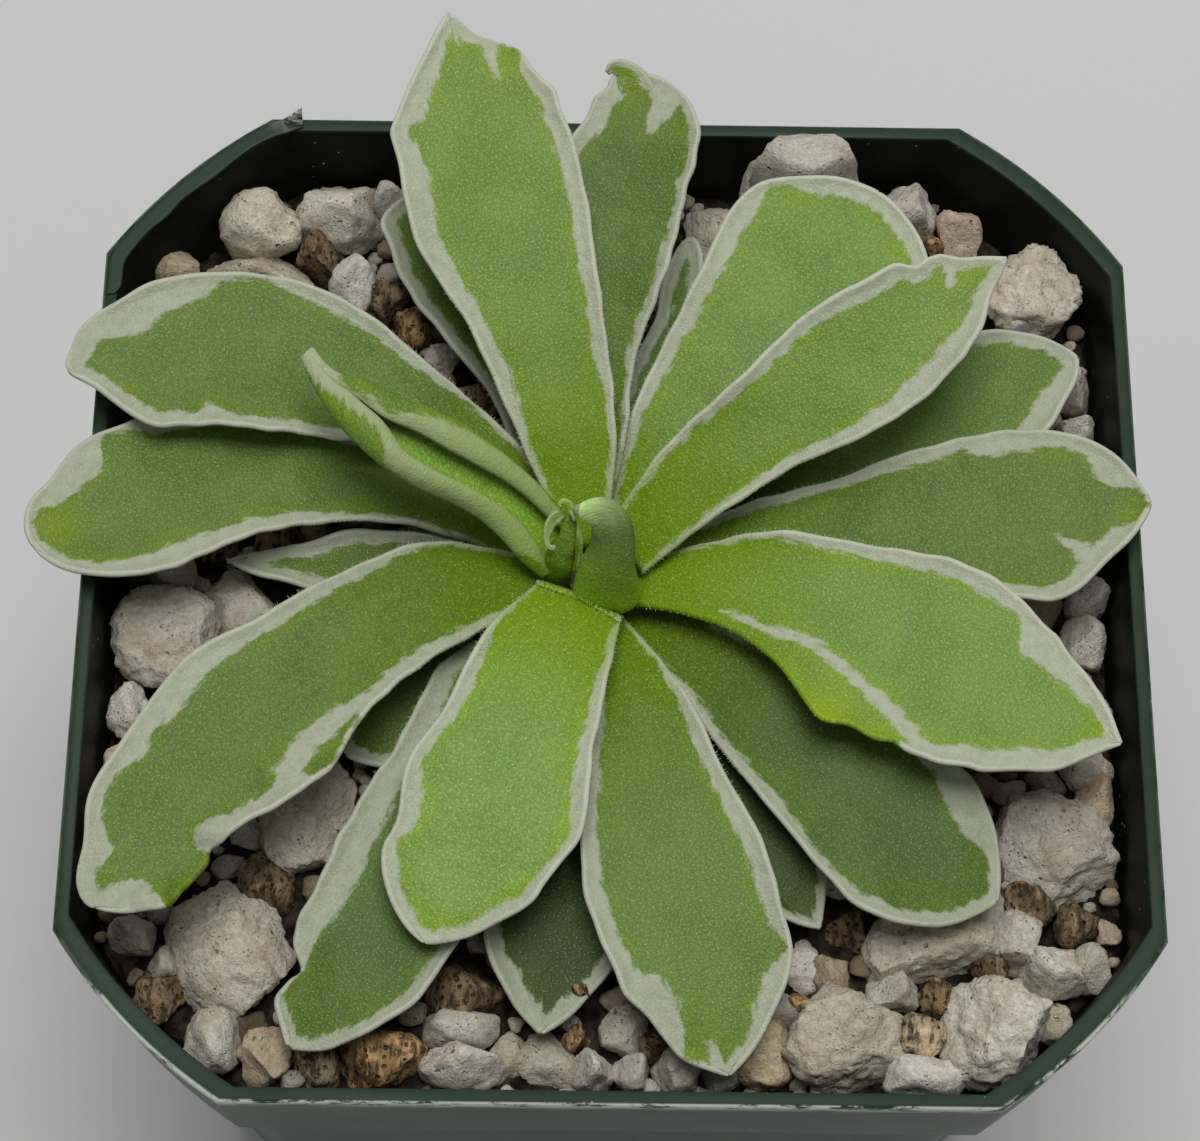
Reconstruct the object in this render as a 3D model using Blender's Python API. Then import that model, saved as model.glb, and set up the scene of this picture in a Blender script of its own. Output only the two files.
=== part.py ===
"""Potted butterwort: a flat rosette of variegated leaves in a square nursery pot filled with pumice.

Units are metres with +Z up. The origin is the centre of the pot's underside.
Sizes below are named in millimetres and multiplied by MM where a mesh is made.
"""

import math
import random
from typing import NamedTuple

import bmesh
import bpy
import numpy as np

MM = 0.001

# Gap between pieces that touch
FIT = 0.3

# Pot: a three inch square pot with cut corners and a collar under the rim
RIM_WIDTH = 76.0
CORNER_CUT = 11.8
CORNER_BULGE = 0.9
CORNER_STEPS = 4
POT_HEIGHT = 70.0
WALL = 1.1
FLOOR = 1.5
COLLAR_HEIGHT = 10.0
COLLAR_STEP = 1.4
TAPER = 0.061
FOOT_ROUND = 0.8
DRAIN_DIAMETER = 6.0
DRAIN_OFFSET = 19.0

# Pumice mix: the filling, the stones listed below and seeded stones between them
FILL_TOP = POT_HEIGHT - 9.0
STONE_SEED = 11
STONE_CLEAR = 0.9
STONE_SINK = 0.8
STONE_LUMP = (0.9, 1.06)
FILLER_TRIES = 2600
FILLER_SIZES = (3.8, 6.0)
FILLER_DEPTHS = (0.75, 1.1)
FILLER_TOP = POT_HEIGHT - 6.8
FILLER_UNEVEN = 0.8
FILLER_SPACING = 0.53
FILLER_REACH = 36.0
FILLER_MARGIN = 0.45
FILLER_LEAST = 0.5
FILLER_FLATNESS = 0.8
STONE_FLATNESS = 0.42

# Corners of a stone by its width and depth together
BIG_STONE = 11.0
BIG_STONE_CORNERS = 16
MIDDLE_STONE = 7.5
MIDDLE_STONE_CORNERS = 10
SMALL_STONE_CORNERS = 8

# Under the middle of the rosette the filling shows no stones
HIDDEN_RADIUS = 13.0

# Crown: the short stem that carries the leaves, and its roots
CROWN_X = -1.2
CROWN_Y = 1.4
CROWN_TOP = POT_HEIGHT - 2.0
CROWN_RADIUS = 2.05
ROOTSTOCK_RADIUS = 3.8
ROOTSTOCK_FOOT = POT_HEIGHT - 23.0
CROWN_HOLE = ROOTSTOCK_RADIUS + 0.4
CROWN_HOLE_FOOT = ROOTSTOCK_FOOT - 3.0
CROWN_SIDES = 16
CROWN_HOLE_SIDES = 24

# A root's sections: depth under the wide part of the rootstock, distance from its axis, radius
ROOT_COUNT = 6
ROOT_SIDES = 6
ROOT_SECTIONS = ((-3.0, 1.6, 0.8), (1.5, 2.4, 0.7), (5.0, 2.9, 0.35))

# Leaves
BASE_DISTANCE = 2.4
LEAF_THICK = 0.9
LEAF_EDGE_THICK = 0.64
LEAF_ROWS = 13
LEAF_COLUMNS = 7
MARGIN_LIFT = 0.8
MARGIN_WAVE = 0.25
WAVE_COUNT = 3.1
LEAF_GROWN = 0.25
ROLL_GROWN = 0.45
UNDERSIDE_ROWS = 33
UNDERSIDE_COLUMNS = 11
WIDTH_STATIONS = (0.0, 0.2, 0.4, 0.6, 0.8)

# The leaf bases stand round the crown in storeys, counted downwards from the top one
TOP_STOREY = POT_HEIGHT - 1.4
STOREY_STEP = 1.3


class Leaf(NamedTuple):
    """One leaf. Heading and bend are degrees, anticlockwise from +X; lengths are millimetres.

    The half widths on each side are given at 20, 40, 60 and 80 percent of the length, with
    base for the half width at the crown. Point says how the tip closes: 1 is a wedge and 2
    an ellipse. Middle and tip are heights over the rim.
    """

    name: str
    storey: int
    heading: float
    bend: float
    length: float
    left: tuple
    right: tuple
    point: float
    base: float
    middle: float
    tip: float
    roll: float = 0.0
    lift: float = MARGIN_LIFT
    wave: float = MARGIN_WAVE
    start: float = BASE_DISTANCE


LEAVES = (
    Leaf("leaf_01", 0, 35.7, -5, 33.2, (3.8, 4.2, 4.9, 4.2), (2.6, 3.5, 5.1, 4.8), 1.1, 2.2, 4.6, 8.5,
         roll=10),
    Leaf("leaf_02", 0, 247, 7, 28.0, (4.6, 5.9, 7.4, 6.3), (4.8, 4.8, 5.5, 5.2), 1.5, 3.2, 0.8, -0.6),
    Leaf("leaf_03", 1, 105, 4.5, 40.4, (3.2, 4.8, 7.2, 6.8), (3.9, 4.9, 5.9, 6.5), 1.1, 1.4, 3.4, 7.5),
    Leaf("leaf_04", 1, 211, 62, 43.0, (3.4, 5.5, 7.4, 5.8), (4.5, 4.6, 5.4, 4.4), 2.0, 1.4, 1.2, 2.0),
    Leaf("leaf_05", 1, 340, -23.5, 37.4, (5.0, 6.3, 7.2, 6.0), (2.4, 5.8, 7.6, 7.0), 1.1, 1.6, 1.2, 1.6),
    Leaf("leaf_06", 2, 153, 88, 41.5, (2.8, 4.0, 6.0, 5.7), (1.8, 3.0, 5.9, 6.4), 2.0, 1.2, 1.2, 3.6),
    Leaf("leaf_07", 2, 283.7, 4.5, 35.3, (4.0, 5.3, 6.6, 6.6), (2.2, 4.6, 6.3, 5.6), 1.3, 1.2, -1.4, -2.8),
    Leaf("leaf_08", 2, 8, -18, 37.5, (2.8, 3.7, 5.1, 6.4), (2.8, 3.9, 5.6, 7.8), 1.5, 1.2, -0.4, 2.4),
    Leaf("leaf_09", 3, 88.5, -34, 37.0, (3.1, 4.3, 5.2, 3.8), (3.2, 4.2, 5.8, 5.9), 2.5, 0.7, 1.0, 4.5),
    Leaf("leaf_10", 3, 55, 0, 34.0, (4.4, 6.2, 7.2, 8.3), (4.0, 6.0, 7.4, 8.3), 1.8, 0.9, -1.0, 1.5),
    Leaf("leaf_11", 3, 171, 78, 41.0, (2.4, 3.5, 5.2, 6.5), (2.5, 3.5, 5.1, 5.5), 2.1, 1.0, -0.8, 2.0),
    Leaf("leaf_12", 3, 318, 11, 34.5, (2.0, 3.6, 5.4, 6.2), (1.5, 3.4, 5.1, 6.4), 1.5, 1.2, -2.6, -3.0),
    Leaf("leaf_13", 3, 240, -5.5, 38.0, (4.8, 5.6, 5.6, 5.7), (6.2, 5.9, 5.6, 4.6), 1.4, 1.3, -2.8, -3.4),
    Leaf("leaf_14", 4, 112, 6, 32.0, (2.1, 2.2, 3.8, 4.9), (2.2, 2.7, 3.9, 4.6), 2.4, 1.3, -3.0, -2.0),
    Leaf("leaf_15", 4, 26, -1, 37.0, (2.5, 3.5, 4.8, 5.1), (2.5, 3.5, 4.8, 4.9), 1.7, 1.3, -2.6, -0.6),
    Leaf("leaf_16", 4, 264, 0, 31.0, (2.5, 3.5, 4.5, 4.8), (2.5, 3.5, 4.5, 4.8), 1.3, 1.3, -4.8, -5.0),
    Leaf("leaf_17", 4, 177, 0, 24.5, (2.2, 2.6, 2.8, 2.2), (2.2, 3.0, 3.0, 2.4), 1.5, 1.3, -4.2, -4.0),
    Leaf("leaf_18", 5, 302, 0, 27.5, (2.4, 3.5, 4.5, 4.4), (2.4, 3.5, 4.5, 4.5), 1.2, 1.2, -5.6, -5.4),
    Leaf("leaf_19", 5, 216, 0, 19.5, (2.2, 3.0, 3.8, 3.8), (2.2, 3.0, 3.8, 3.8), 1.5, 1.2, -5.4, -5.4),
    Leaf("leaf_20", 5, 76, 2, 27.0, (2.0, 2.4, 2.6, 2.4), (1.6, 1.9, 2.0, 1.9), 1.8, 1.2, -4.6, -3.6),
    Leaf("young_leaf", 0, 149, -10, 21.5, (2.2, 2.6, 2.5, 1.7), (2.2, 2.6, 2.4, 1.7), 1.6, 2.1, 5.0, 7.5,
         lift=1.8, wave=0.05, start=3.2),
)

# Newest leaf, still rolled up, and the small leaf beside it, as sections from the base to the tip:
# x, y, height over the rim, radius across, radius through
CENTRE_CURL = (
    (-0.8, 0.6, -1.6, 1.7, 1.3),
    (-0.6, 0.0, -0.2, 2.2, 1.4),
    (-0.5, -0.2, 1.2, 2.3, 1.4),
    (-0.3, 0.5, 2.6, 1.9, 1.3),
    (-0.25, 1.6, 3.9, 1.6, 1.2),
    (-0.8, 2.8, 5.0, 1.4, 0.9),
)
INNER_LEAF = (
    (-3.75, 0.95, -0.9, 0.75, 0.4),
    (-4.0, 0.6, 0.4, 1.0, 0.42),
    (-3.95, 1.2, 1.7, 0.95, 0.42),
    (-3.6, 2.2, 2.8, 0.85, 0.4),
    (-3.4, 3.3, 3.8, 0.55, 0.35),
)

# Stones that show round the rosette: x, y, width, depth and height of the top over the rim
STONES = (
    (-33.5, 28.3, 3.6, 4.2, -3.6), (-27.2, 31.6, 6.2, 5.2, -2.2), (-21.0, 32.8, 6.6, 6.0, -1.6),
    (-27.3, 27.6, 8.0, 4.0, -4.2), (-22.4, 29.2, 3.6, 3.4, -3.6), (-20.0, 26.8, 3.6, 4.6, -3.8),
    (-17.4, 26.0, 3.6, 3.6, -5.0), (-15.3, 23.8, 3.0, 3.0, -5.4), (-13.0, 21.0, 2.6, 2.6, -5.6),
    (-24.4, 26.0, 3.6, 2.8, -4.4), (-17.3, 34.0, 2.6, 3.0, -2.4),
    (16.2, 34.0, 6.8, 5.6, 2.2), (11.4, 34.2, 3.4, 3.8, 0.4), (7.5, 32.4, 4.0, 5.4, -1.8),
    (22.3, 33.2, 5.0, 4.6, -1.4), (26.4, 31.6, 3.4, 4.6, -2.4), (24.4, 30.0, 1.8, 2.6, -3.0),
    (31.6, 26.0, 7.6, 7.4, -1.6), (30.9, 23.4, 3.8, 3.6, -2.6), (34.8, 18.6, 2.8, 3.0, -3.8),
    (34.9, 15.4, 2.8, 2.6, -4.2), (5.5, 25.4, 3.0, 3.4, -6.0),
    (-32.4, -2.6, 7.4, 8.0, -3.2), (-27.3, 0.8, 6.4, 6.0, -3.8), (-32.4, 3.0, 3.6, 2.8, -4.4),
    (-34.6, -8.0, 3.4, 4.4, -4.0), (-34.9, -12.6, 2.6, 4.4, -4.0), (-35.0, -16.0, 2.2, 2.6, -4.6),
    (-21.6, -15.4, 6.6, 8.4, -4.4), (-24.4, -20.4, 4.0, 4.4, -5.2), (-26.6, -25.2, 8.8, 10.6, -1.8),
    (-33.6, -24.4, 3.2, 2.6, -4.8), (-31.2, -26.6, 2.2, 2.8, -4.8), (-31.2, -29.0, 3.6, 4.2, -4.8),
    (-27.4, -32.2, 3.8, 4.4, -3.6), (-23.8, -33.2, 3.6, 4.0, -3.6), (-20.2, -33.8, 3.2, 3.2, -4.2),
    (-15.6, -33.4, 6.0, 4.0, -3.4), (-10.2, -33.6, 5.6, 3.4, -3.8), (-10.4, -28.0, 6.0, 5.2, -5.4),
    (-10.4, -30.8, 5.4, 3.0, -4.8), (-4.2, -33.0, 4.6, 4.4, -4.0), (-7.2, -32.8, 2.8, 3.8, -4.6),
    (-2.3, -31.4, 2.0, 2.0, -5.2), (-1.2, -33.8, 3.0, 2.8, -4.4),
    (34.8, 1.6, 3.2, 2.6, -3.6), (34.4, -1.6, 3.4, 4.4, -4.4), (35.0, -7.0, 2.6, 4.0, -4.4),
    (34.2, -11.4, 4.0, 3.0, -4.4), (34.6, -14.0, 2.8, 4.2, -4.2), (31.4, -17.4, 8.8, 8.4, -1.8),
    (29.6, -21.8, 3.8, 3.2, -4.8), (32.8, -23.0, 3.0, 3.2, -4.2), (28.6, -24.2, 3.6, 3.8, -4.0),
    (31.2, -26.6, 4.6, 4.2, -3.4), (33.6, -26.4, 2.6, 3.6, -4.2), (26.6, -26.4, 2.8, 2.4, -4.6),
    (22.4, -24.8, 9.2, 5.4, -4.4), (17.0, -23.4, 3.4, 4.4, -5.4), (19.8, -27.8, 3.8, 3.4, -5.2),
    (22.8, -28.6, 2.6, 2.8, -5.0), (21.8, -31.4, 3.4, 3.4, -4.6), (26.8, -31.0, 7.6, 7.6, -1.8),
    (31.0, -30.4, 2.4, 3.4, -4.4), (16.4, -31.2, 8.6, 7.8, -2.4), (21.8, -34.2, 5.6, 2.8, -4.2),
    (13.8, -25.8, 3.2, 4.2, -5.4), (15.4, -26.6, 2.8, 2.8, -5.4), (10.8, -32.6, 4.2, 4.6, -4.2),
    (13.0, -29.2, 2.0, 2.0, -5.0), (4.6, -33.8, 3.4, 3.2, -4.6), (1.0, -31.0, 3.4, 3.6, -5.0),
    (1.4, -34.0, 2.6, 2.6, -4.6), (2.8, -32.0, 2.8, 2.4, -5.2), (8.0, -33.6, 3.0, 3.2, -5.0),
)


def ease(value):
    value = np.clip(value, 0.0, 1.0)
    return value * value * (3.0 - 2.0 * value)


def material(name, colour, roughness):
    made = bpy.data.materials.new(name)
    made.use_nodes = True
    shader = made.node_tree.nodes["Principled BSDF"]
    shader.inputs["Base Color"].default_value = (*colour, 1.0)
    shader.inputs["Roughness"].default_value = roughness
    shader.inputs["Metallic"].default_value = 0.0
    return made


def node_object(name, mesh, finish, smooth=True):
    mesh.materials.append(finish)
    if smooth:
        mesh.shade_smooth()
        mesh.set_sharp_from_angle(angle=math.radians(35))
    made = bpy.data.objects.new(name, mesh)
    bpy.context.scene.collection.objects.link(made)
    return made


def mesh_of(name, points, faces):
    """A mesh from points in millimetres, with its faces turned outwards."""
    mesh = bpy.data.meshes.new(name)
    mesh.from_pydata([(x * MM, y * MM, z * MM) for x, y, z in points], [], faces)
    shape = bmesh.new()
    shape.from_mesh(mesh)
    bmesh.ops.recalc_face_normals(shape, faces=shape.faces)
    shape.to_mesh(mesh)
    shape.free()
    return mesh


def cutter(name, mesh):
    made = bpy.data.objects.new(name, mesh)
    bpy.context.scene.collection.objects.link(made)
    made.hide_render = True
    made.display_type = "WIRE"
    return made


def boolean(target, operation, other=None, group=None, solver="EXACT"):
    """Adds one Boolean, applies it, and leaves its operand to the caller."""
    modifier = target.modifiers.new(operation.title(), "BOOLEAN")
    modifier.operation = operation
    modifier.solver = solver
    if group is None:
        modifier.object = other
    else:
        modifier.operand_type = "COLLECTION"
        modifier.collection = group
    graph = bpy.context.evaluated_depsgraph_get()
    result = bpy.data.meshes.new_from_object(target.evaluated_get(graph))
    target.modifiers.clear()
    target.data = result


def remove_group(group):
    for member in list(group.objects):
        bpy.data.objects.remove(member)
    bpy.data.collections.remove(group)


def drop_scraps(target):
    """Keeps only the body of the mesh that has the most vertices."""
    shape = bmesh.new()
    shape.from_mesh(target.data)
    left = set(shape.verts)
    bodies = []
    while left:
        body = {left.pop()}
        edge_of_body = list(body)
        while edge_of_body:
            vertex = edge_of_body.pop()
            for edge in vertex.link_edges:
                other = edge.other_vert(vertex)
                if other in left:
                    left.remove(other)
                    body.add(other)
                    edge_of_body.append(other)
        bodies.append(body)
    bodies.sort(key=len)
    scraps = [vertex for body in bodies[:-1] for vertex in body]
    bmesh.ops.delete(shape, geom=scraps, context="VERTS")
    shape.to_mesh(target.data)
    shape.free()


# The pot


def width_at(height):
    """The pot's outer width across flats at a height."""
    width = RIM_WIDTH - 2.0 * TAPER * (POT_HEIGHT - height)
    if height < POT_HEIGHT - COLLAR_HEIGHT:
        width -= 2.0 * COLLAR_STEP
    return width


def outline(width, height):
    """One level of the pot: four flats and four slightly bulging cut corners."""
    half = width / 2.0
    near = half - CORNER_CUT
    points = []
    for quarter in range(4):
        start = np.array((half, near))
        end = np.array((near, half))
        out = np.array((1.0, 1.0)) / math.sqrt(2.0)
        turn = quarter * math.pi / 2.0
        cos, sin = round(math.cos(turn)), round(math.sin(turn))
        for step in range(CORNER_STEPS + 1):
            share = step / CORNER_STEPS
            x, y = start + (end - start) * share + out * CORNER_BULGE * 4.0 * share * (1.0 - share)
            points.append((x * cos - y * sin, x * sin + y * cos, height))
    return points


def circle(x, y, height, radius, sides):
    turn = [2.0 * math.pi * k / sides for k in range(sides)]
    return [(x + radius * math.cos(a), y + radius * math.sin(a), height) for a in turn]


def rings_mesh(name, rings):
    """A closed skin over a list of rings that have the same number of points."""
    count = len(rings[0])
    points = [point for ring in rings for point in ring]
    faces = []
    for level in range(len(rings) - 1):
        for k in range(count):
            a, b = level * count + k, level * count + (k + 1) % count
            faces.append((a, b, b + count, a + count))
    last = (len(rings) - 1) * count
    faces.append(tuple(range(count))[::-1])
    faces.append(tuple(range(last, last + count)))
    return mesh_of(name, points, faces)


def make_pot():
    collar = POT_HEIGHT - COLLAR_HEIGHT
    body = width_at(collar) - 2.0 * COLLAR_STEP
    step_inside = collar + WALL
    rings = [
        outline(width_at(0.0) - 2.0 * FOOT_ROUND, 0.0),
        outline(width_at(0.0) - 0.5 * FOOT_ROUND, 0.3 * FOOT_ROUND),
        outline(width_at(FOOT_ROUND), FOOT_ROUND),
        outline(body, collar),
        outline(width_at(collar), collar),
        outline(RIM_WIDTH, POT_HEIGHT),
        outline(RIM_WIDTH - 2.0 * WALL, POT_HEIGHT),
        outline(width_at(step_inside) - 2.0 * WALL, step_inside),
        outline(body - 2.0 * WALL, step_inside),
        outline(width_at(FLOOR) - 2.0 * WALL, FLOOR),
    ]
    green = material("pot_green", (0.035, 0.06, 0.045), 0.45)
    pot = node_object("pot", rings_mesh("pot", rings), green)
    places = [(x * DRAIN_OFFSET, y * DRAIN_OFFSET) for x in (-1, 1) for y in (-1, 1)]
    for x, y in places:
        drain = [circle(x, y, height, DRAIN_DIAMETER / 2.0, 16) for height in (-FLOOR, 2.0 * FLOOR)]
        drill = cutter("drain", rings_mesh("drain", drain))
        boolean(pot, "DIFFERENCE", drill)
        bpy.data.objects.remove(drill)
    return pot


# The leaves


def half_widths(along, base, given, point):
    """Smooth half widths along the blade, closing at the tip."""
    stations = np.array(WIDTH_STATIONS)
    widths = np.array((base, *given))
    slopes = np.gradient(widths, stations)
    slopes[0] = (widths[1] - widths[0]) / (stations[1] - stations[0])
    slopes[-1] = 0.0

    # A cubic through the stations, then the closing tip
    span = np.clip(np.searchsorted(stations, along, side="right") - 1, 0, len(stations) - 2)
    size = stations[span + 1] - stations[span]
    share = np.clip((along - stations[span]) / size, 0.0, 1.0)
    smooth = (
        (2 * share**3 - 3 * share**2 + 1) * widths[span]
        + (share**3 - 2 * share**2 + share) * size * slopes[span]
        + (3 * share**2 - 2 * share**3) * widths[span + 1]
        + (share**3 - share**2) * size * slopes[span + 1]
    )
    closing = np.clip((along - stations[-1]) / (1.0 - stations[-1]), 0.0, 1.0)
    return np.maximum(smooth * (1.0 - closing**point) ** (1.0 / point), 0.4)


def leaf_grid(leaf, rows, columns):
    """The middle surface of a blade, rows along it and columns across it, in millimetres."""
    along = np.sin(np.linspace(0.0, math.pi / 2.0, rows)) ** 1.1
    fine = np.linspace(0.0, 1.0, 201)
    turning = np.radians(leaf.heading + leaf.bend * (fine - 0.35))
    angle = np.interp(along, fine, turning)

    # The midrib seen from above
    step = leaf.length / (len(fine) - 1)
    path_x = np.concatenate(([0.0], np.cumsum(np.cos((turning[1:] + turning[:-1]) / 2)))) * step
    path_y = np.concatenate(([0.0], np.cumsum(np.sin((turning[1:] + turning[:-1]) / 2)))) * step
    x = CROWN_X + leaf.start * math.cos(turning[0]) + np.interp(along, fine, path_x)
    y = CROWN_Y + leaf.start * math.sin(turning[0]) + np.interp(along, fine, path_y)

    # Its height: a parabola through the base, the middle and the tip
    base = TOP_STOREY - STOREY_STEP * leaf.storey
    middle = POT_HEIGHT + leaf.middle
    tip = POT_HEIGHT + leaf.tip
    z = base * (1 - along) * (1 - 2 * along)
    z += middle * 4 * along * (1 - along)
    z += tip * along * (2 * along - 1)
    rise = (4 * along - 3) * base + (4 - 8 * along) * middle + (4 * along - 1) * tip

    # Which way the blade faces at each row
    forward = np.stack((np.cos(angle) * leaf.length, np.sin(angle) * leaf.length, rise), axis=1)
    forward /= np.linalg.norm(forward, axis=1)[:, None]
    side = np.stack((-np.sin(angle), np.cos(angle), np.zeros(rows)), axis=1)
    up = np.cross(forward, side)
    roll = np.radians(leaf.roll) * ease(along / ROLL_GROWN)[:, None]
    side, up = side * np.cos(roll) + up * np.sin(roll), up * np.cos(roll) - side * np.sin(roll)

    # Across it: flat in the middle, lifted and slightly waved at the margins
    across = np.linspace(-1.0, 1.0, columns)
    across = np.sign(across) * np.abs(across) ** 0.85
    left = half_widths(along, leaf.base, leaf.left, leaf.point)[:, None]
    right = half_widths(along, leaf.base, leaf.right, leaf.point)[:, None]
    sideways = np.where(across > 0, across * left, across * right)
    grown = ease(along / LEAF_GROWN)[:, None]
    lift = leaf.lift * (sideways / max(*leaf.left, *leaf.right)) ** 2
    phase = leaf.heading / 57.0 + 0.37 * (across > 0)
    wave = leaf.wave * np.abs(across) ** 3 * np.sin(2 * math.pi * (along[:, None] * WAVE_COUNT + phase))
    height = grown * (lift + wave)
    return (
        np.stack((x, y, z), axis=1)[:, None]
        + side[:, None] * sideways[:, :, None]
        + up[:, None] * height[:, :, None]
    )


def blade_mesh(name, grid):
    """A closed blade round a middle surface, split into the same triangles on both faces."""
    rows, columns, _ = grid.shape
    normal = np.cross(np.gradient(grid, axis=0), np.gradient(grid, axis=1))
    normal /= np.linalg.norm(normal, axis=2)[:, :, None]
    across = np.abs(np.linspace(-1.0, 1.0, columns))
    half_thick = (LEAF_THICK + (LEAF_EDGE_THICK - LEAF_THICK) * across**2)[None, :, None] / 2.0
    top = (grid + normal * half_thick).reshape(-1, 3)
    under = (grid - normal * half_thick).reshape(-1, 3)
    down = rows * columns
    faces = []
    for i in range(rows - 1):
        for j in range(columns - 1):
            a = i * columns + j
            b = a + columns
            c = b + 1
            d = a + 1
            faces += [(a, b, c), (a, c, d)]
            faces += [(a + down, c + down, b + down), (a + down, d + down, c + down)]
    rim = [i * columns for i in range(rows)]
    rim += [(rows - 1) * columns + j for j in range(1, columns)]
    rim += [i * columns + columns - 1 for i in range(rows - 2, -1, -1)]
    rim += list(range(columns - 2, 0, -1))
    for k, a in enumerate(rim):
        b = rim[(k + 1) % len(rim)]
        faces += [(a, a + down, b + down), (a, b + down, b)]
    return mesh_of(name, np.concatenate((top, under)), faces)


def make_leaves():
    green = material("leaf_green", (0.21, 0.36, 0.09), 0.5)
    for leaf in LEAVES:
        node_object(leaf.name, blade_mesh(leaf.name, leaf_grid(leaf, LEAF_ROWS, LEAF_COLUMNS)), green)


def swept_mesh(name, stations, sides=10):
    """A closed body round a list of centres, each with its own two radii."""
    rings = []
    turn = [2.0 * math.pi * k / sides for k in range(sides)]
    for x, y, height, across, through in stations:
        z = POT_HEIGHT + height
        rings.append([(x + across * math.cos(a), y + through * math.sin(a), z) for a in turn])
    return rings_mesh(name, rings)


def make_centre():
    young = material("young_leaf_green", (0.17, 0.29, 0.1), 0.45)
    node_object("centre_curl", swept_mesh("centre_curl", CENTRE_CURL), young)
    node_object("inner_leaf", swept_mesh("inner_leaf", INNER_LEAF, sides=8), young)


# The crown


def make_crown():
    """The stem over a wider rootstock, with short roots fused under it."""
    wide = ROOTSTOCK_FOOT + 3.0
    profile = (
        (ROOTSTOCK_FOOT, 1.6),
        (wide, 2.8),
        (FILL_TOP - 4.0, ROOTSTOCK_RADIUS),
        (FILL_TOP - 0.6, ROOTSTOCK_RADIUS),
        (FILL_TOP + 0.9, CROWN_RADIUS),
        (CROWN_TOP - 0.4, CROWN_RADIUS),
        (CROWN_TOP, CROWN_RADIUS - 0.5),
    )
    rings = [circle(CROWN_X, CROWN_Y, height, radius, CROWN_SIDES) for height, radius in profile]
    pale = material("crown_pale", (0.42, 0.44, 0.2), 0.6)
    crown = node_object("crown_and_roots", rings_mesh("crown_and_roots", rings), pale)
    roots = bpy.data.collections.new("roots")
    bpy.context.scene.collection.children.link(roots)
    for k in range(ROOT_COUNT):
        turn = 2.0 * math.pi * k / ROOT_COUNT
        rings = []
        for depth, spread, radius in ROOT_SECTIONS:
            x = CROWN_X + spread * math.cos(turn)
            y = CROWN_Y + spread * math.sin(turn)
            rings.append(circle(x, y, wide - depth, radius, ROOT_SIDES))
        root = bpy.data.objects.new("root_strand", rings_mesh("root_strand", rings))
        roots.objects.link(root)
    boolean(crown, "UNION", group=roots)
    remove_group(roots)


# The pumice mix


def leaf_undersides():
    """Points on the undersides of all leaves, which the stones keep clear of."""
    points = [leaf_grid(leaf, UNDERSIDE_ROWS, UNDERSIDE_COLUMNS).reshape(-1, 3) for leaf in LEAVES]
    points = np.concatenate(points)
    points[:, 2] -= LEAF_THICK / 2.0
    return points


def free_height(undersides, x, y, width, depth):
    """How high a stone may reach under the leaves over its place."""
    across = (undersides[:, 0] - x) / (width / 2 + STONE_CLEAR)
    through = (undersides[:, 1] - y) / (depth / 2 + STONE_CLEAR)
    near = across**2 + through**2 < 1.0
    return undersides[near, 2].min() - STONE_CLEAR if near.any() else math.inf


def room_inside(x, y, height, margin):
    """Whether a point lies inside the pot's wall by at least the margin."""
    half = width_at(height) / 2.0 - WALL - margin
    return max(abs(x), abs(y)) < half and abs(x) + abs(y) < 2 * half - CORNER_CUT + WALL


def pebble_mesh(draw, x, y, top, width, depth, height, corners):
    """A stone: the hull of points spread over a lumpy ellipsoid."""
    shape = bmesh.new()
    turn = draw.uniform(0.0, math.pi)
    for k in range(corners):
        level = 1.0 - 2.0 * (k + 0.5) / corners
        angle = turn + k * math.pi * (3.0 - math.sqrt(5.0))
        ring = math.sqrt(1.0 - level * level)
        lump = draw.uniform(*STONE_LUMP)
        shape.verts.new((
            (x + ring * math.cos(angle) * width / 2 * lump) * MM,
            (y + ring * math.sin(angle) * depth / 2 * lump) * MM,
            (top - height / 2 + level * height / 2 * lump) * MM,
        ))
    hull = bmesh.ops.convex_hull(shape, input=shape.verts)
    inside = set(hull["geom_interior"] + hull["geom_unused"])
    spare = [part for part in inside if isinstance(part, bmesh.types.BMVert)]
    bmesh.ops.delete(shape, geom=spare, context="VERTS")
    bmesh.ops.recalc_face_normals(shape, faces=shape.faces)
    mesh = bpy.data.meshes.new("stone")
    shape.to_mesh(mesh)
    shape.free()
    return mesh


def stone_places(draw):
    """The stones that show, each sunk into the filling, and seeded ones between them."""
    undersides = leaf_undersides()
    placed = []
    for x, y, width, depth, top in STONES:
        top = min(POT_HEIGHT + top, free_height(undersides, x, y, width, depth))
        height = max(STONE_FLATNESS * (width + depth), top - FILL_TOP + STONE_SINK)
        placed.append((x, y, top, width, depth, height))
    for _ in range(FILLER_TRIES):
        size = draw.uniform(*FILLER_SIZES)
        x = draw.uniform(-FILLER_REACH, FILLER_REACH)
        y = draw.uniform(-FILLER_REACH, FILLER_REACH)
        depth = size * draw.uniform(*FILLER_DEPTHS)
        if not room_inside(x, y, FILL_TOP, FILLER_MARGIN * size):
            continue
        if math.hypot(x - CROWN_X, y - CROWN_Y) < HIDDEN_RADIUS:
            continue
        spacing = [math.hypot(x - ox, y - oy) / (size + (w + d) / 2) for ox, oy, _, w, d, _ in placed]
        if min(spacing) < FILLER_SPACING:
            continue
        uneven = draw.uniform(-FILLER_UNEVEN, FILLER_UNEVEN)
        top = min(FILLER_TOP + uneven, free_height(undersides, x, y, size, depth))
        if top > FILL_TOP + FILLER_LEAST:
            height = max(FILLER_FLATNESS * size, top - FILL_TOP + STONE_SINK)
            placed.append((x, y, top, size, depth, height))
    return placed


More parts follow.
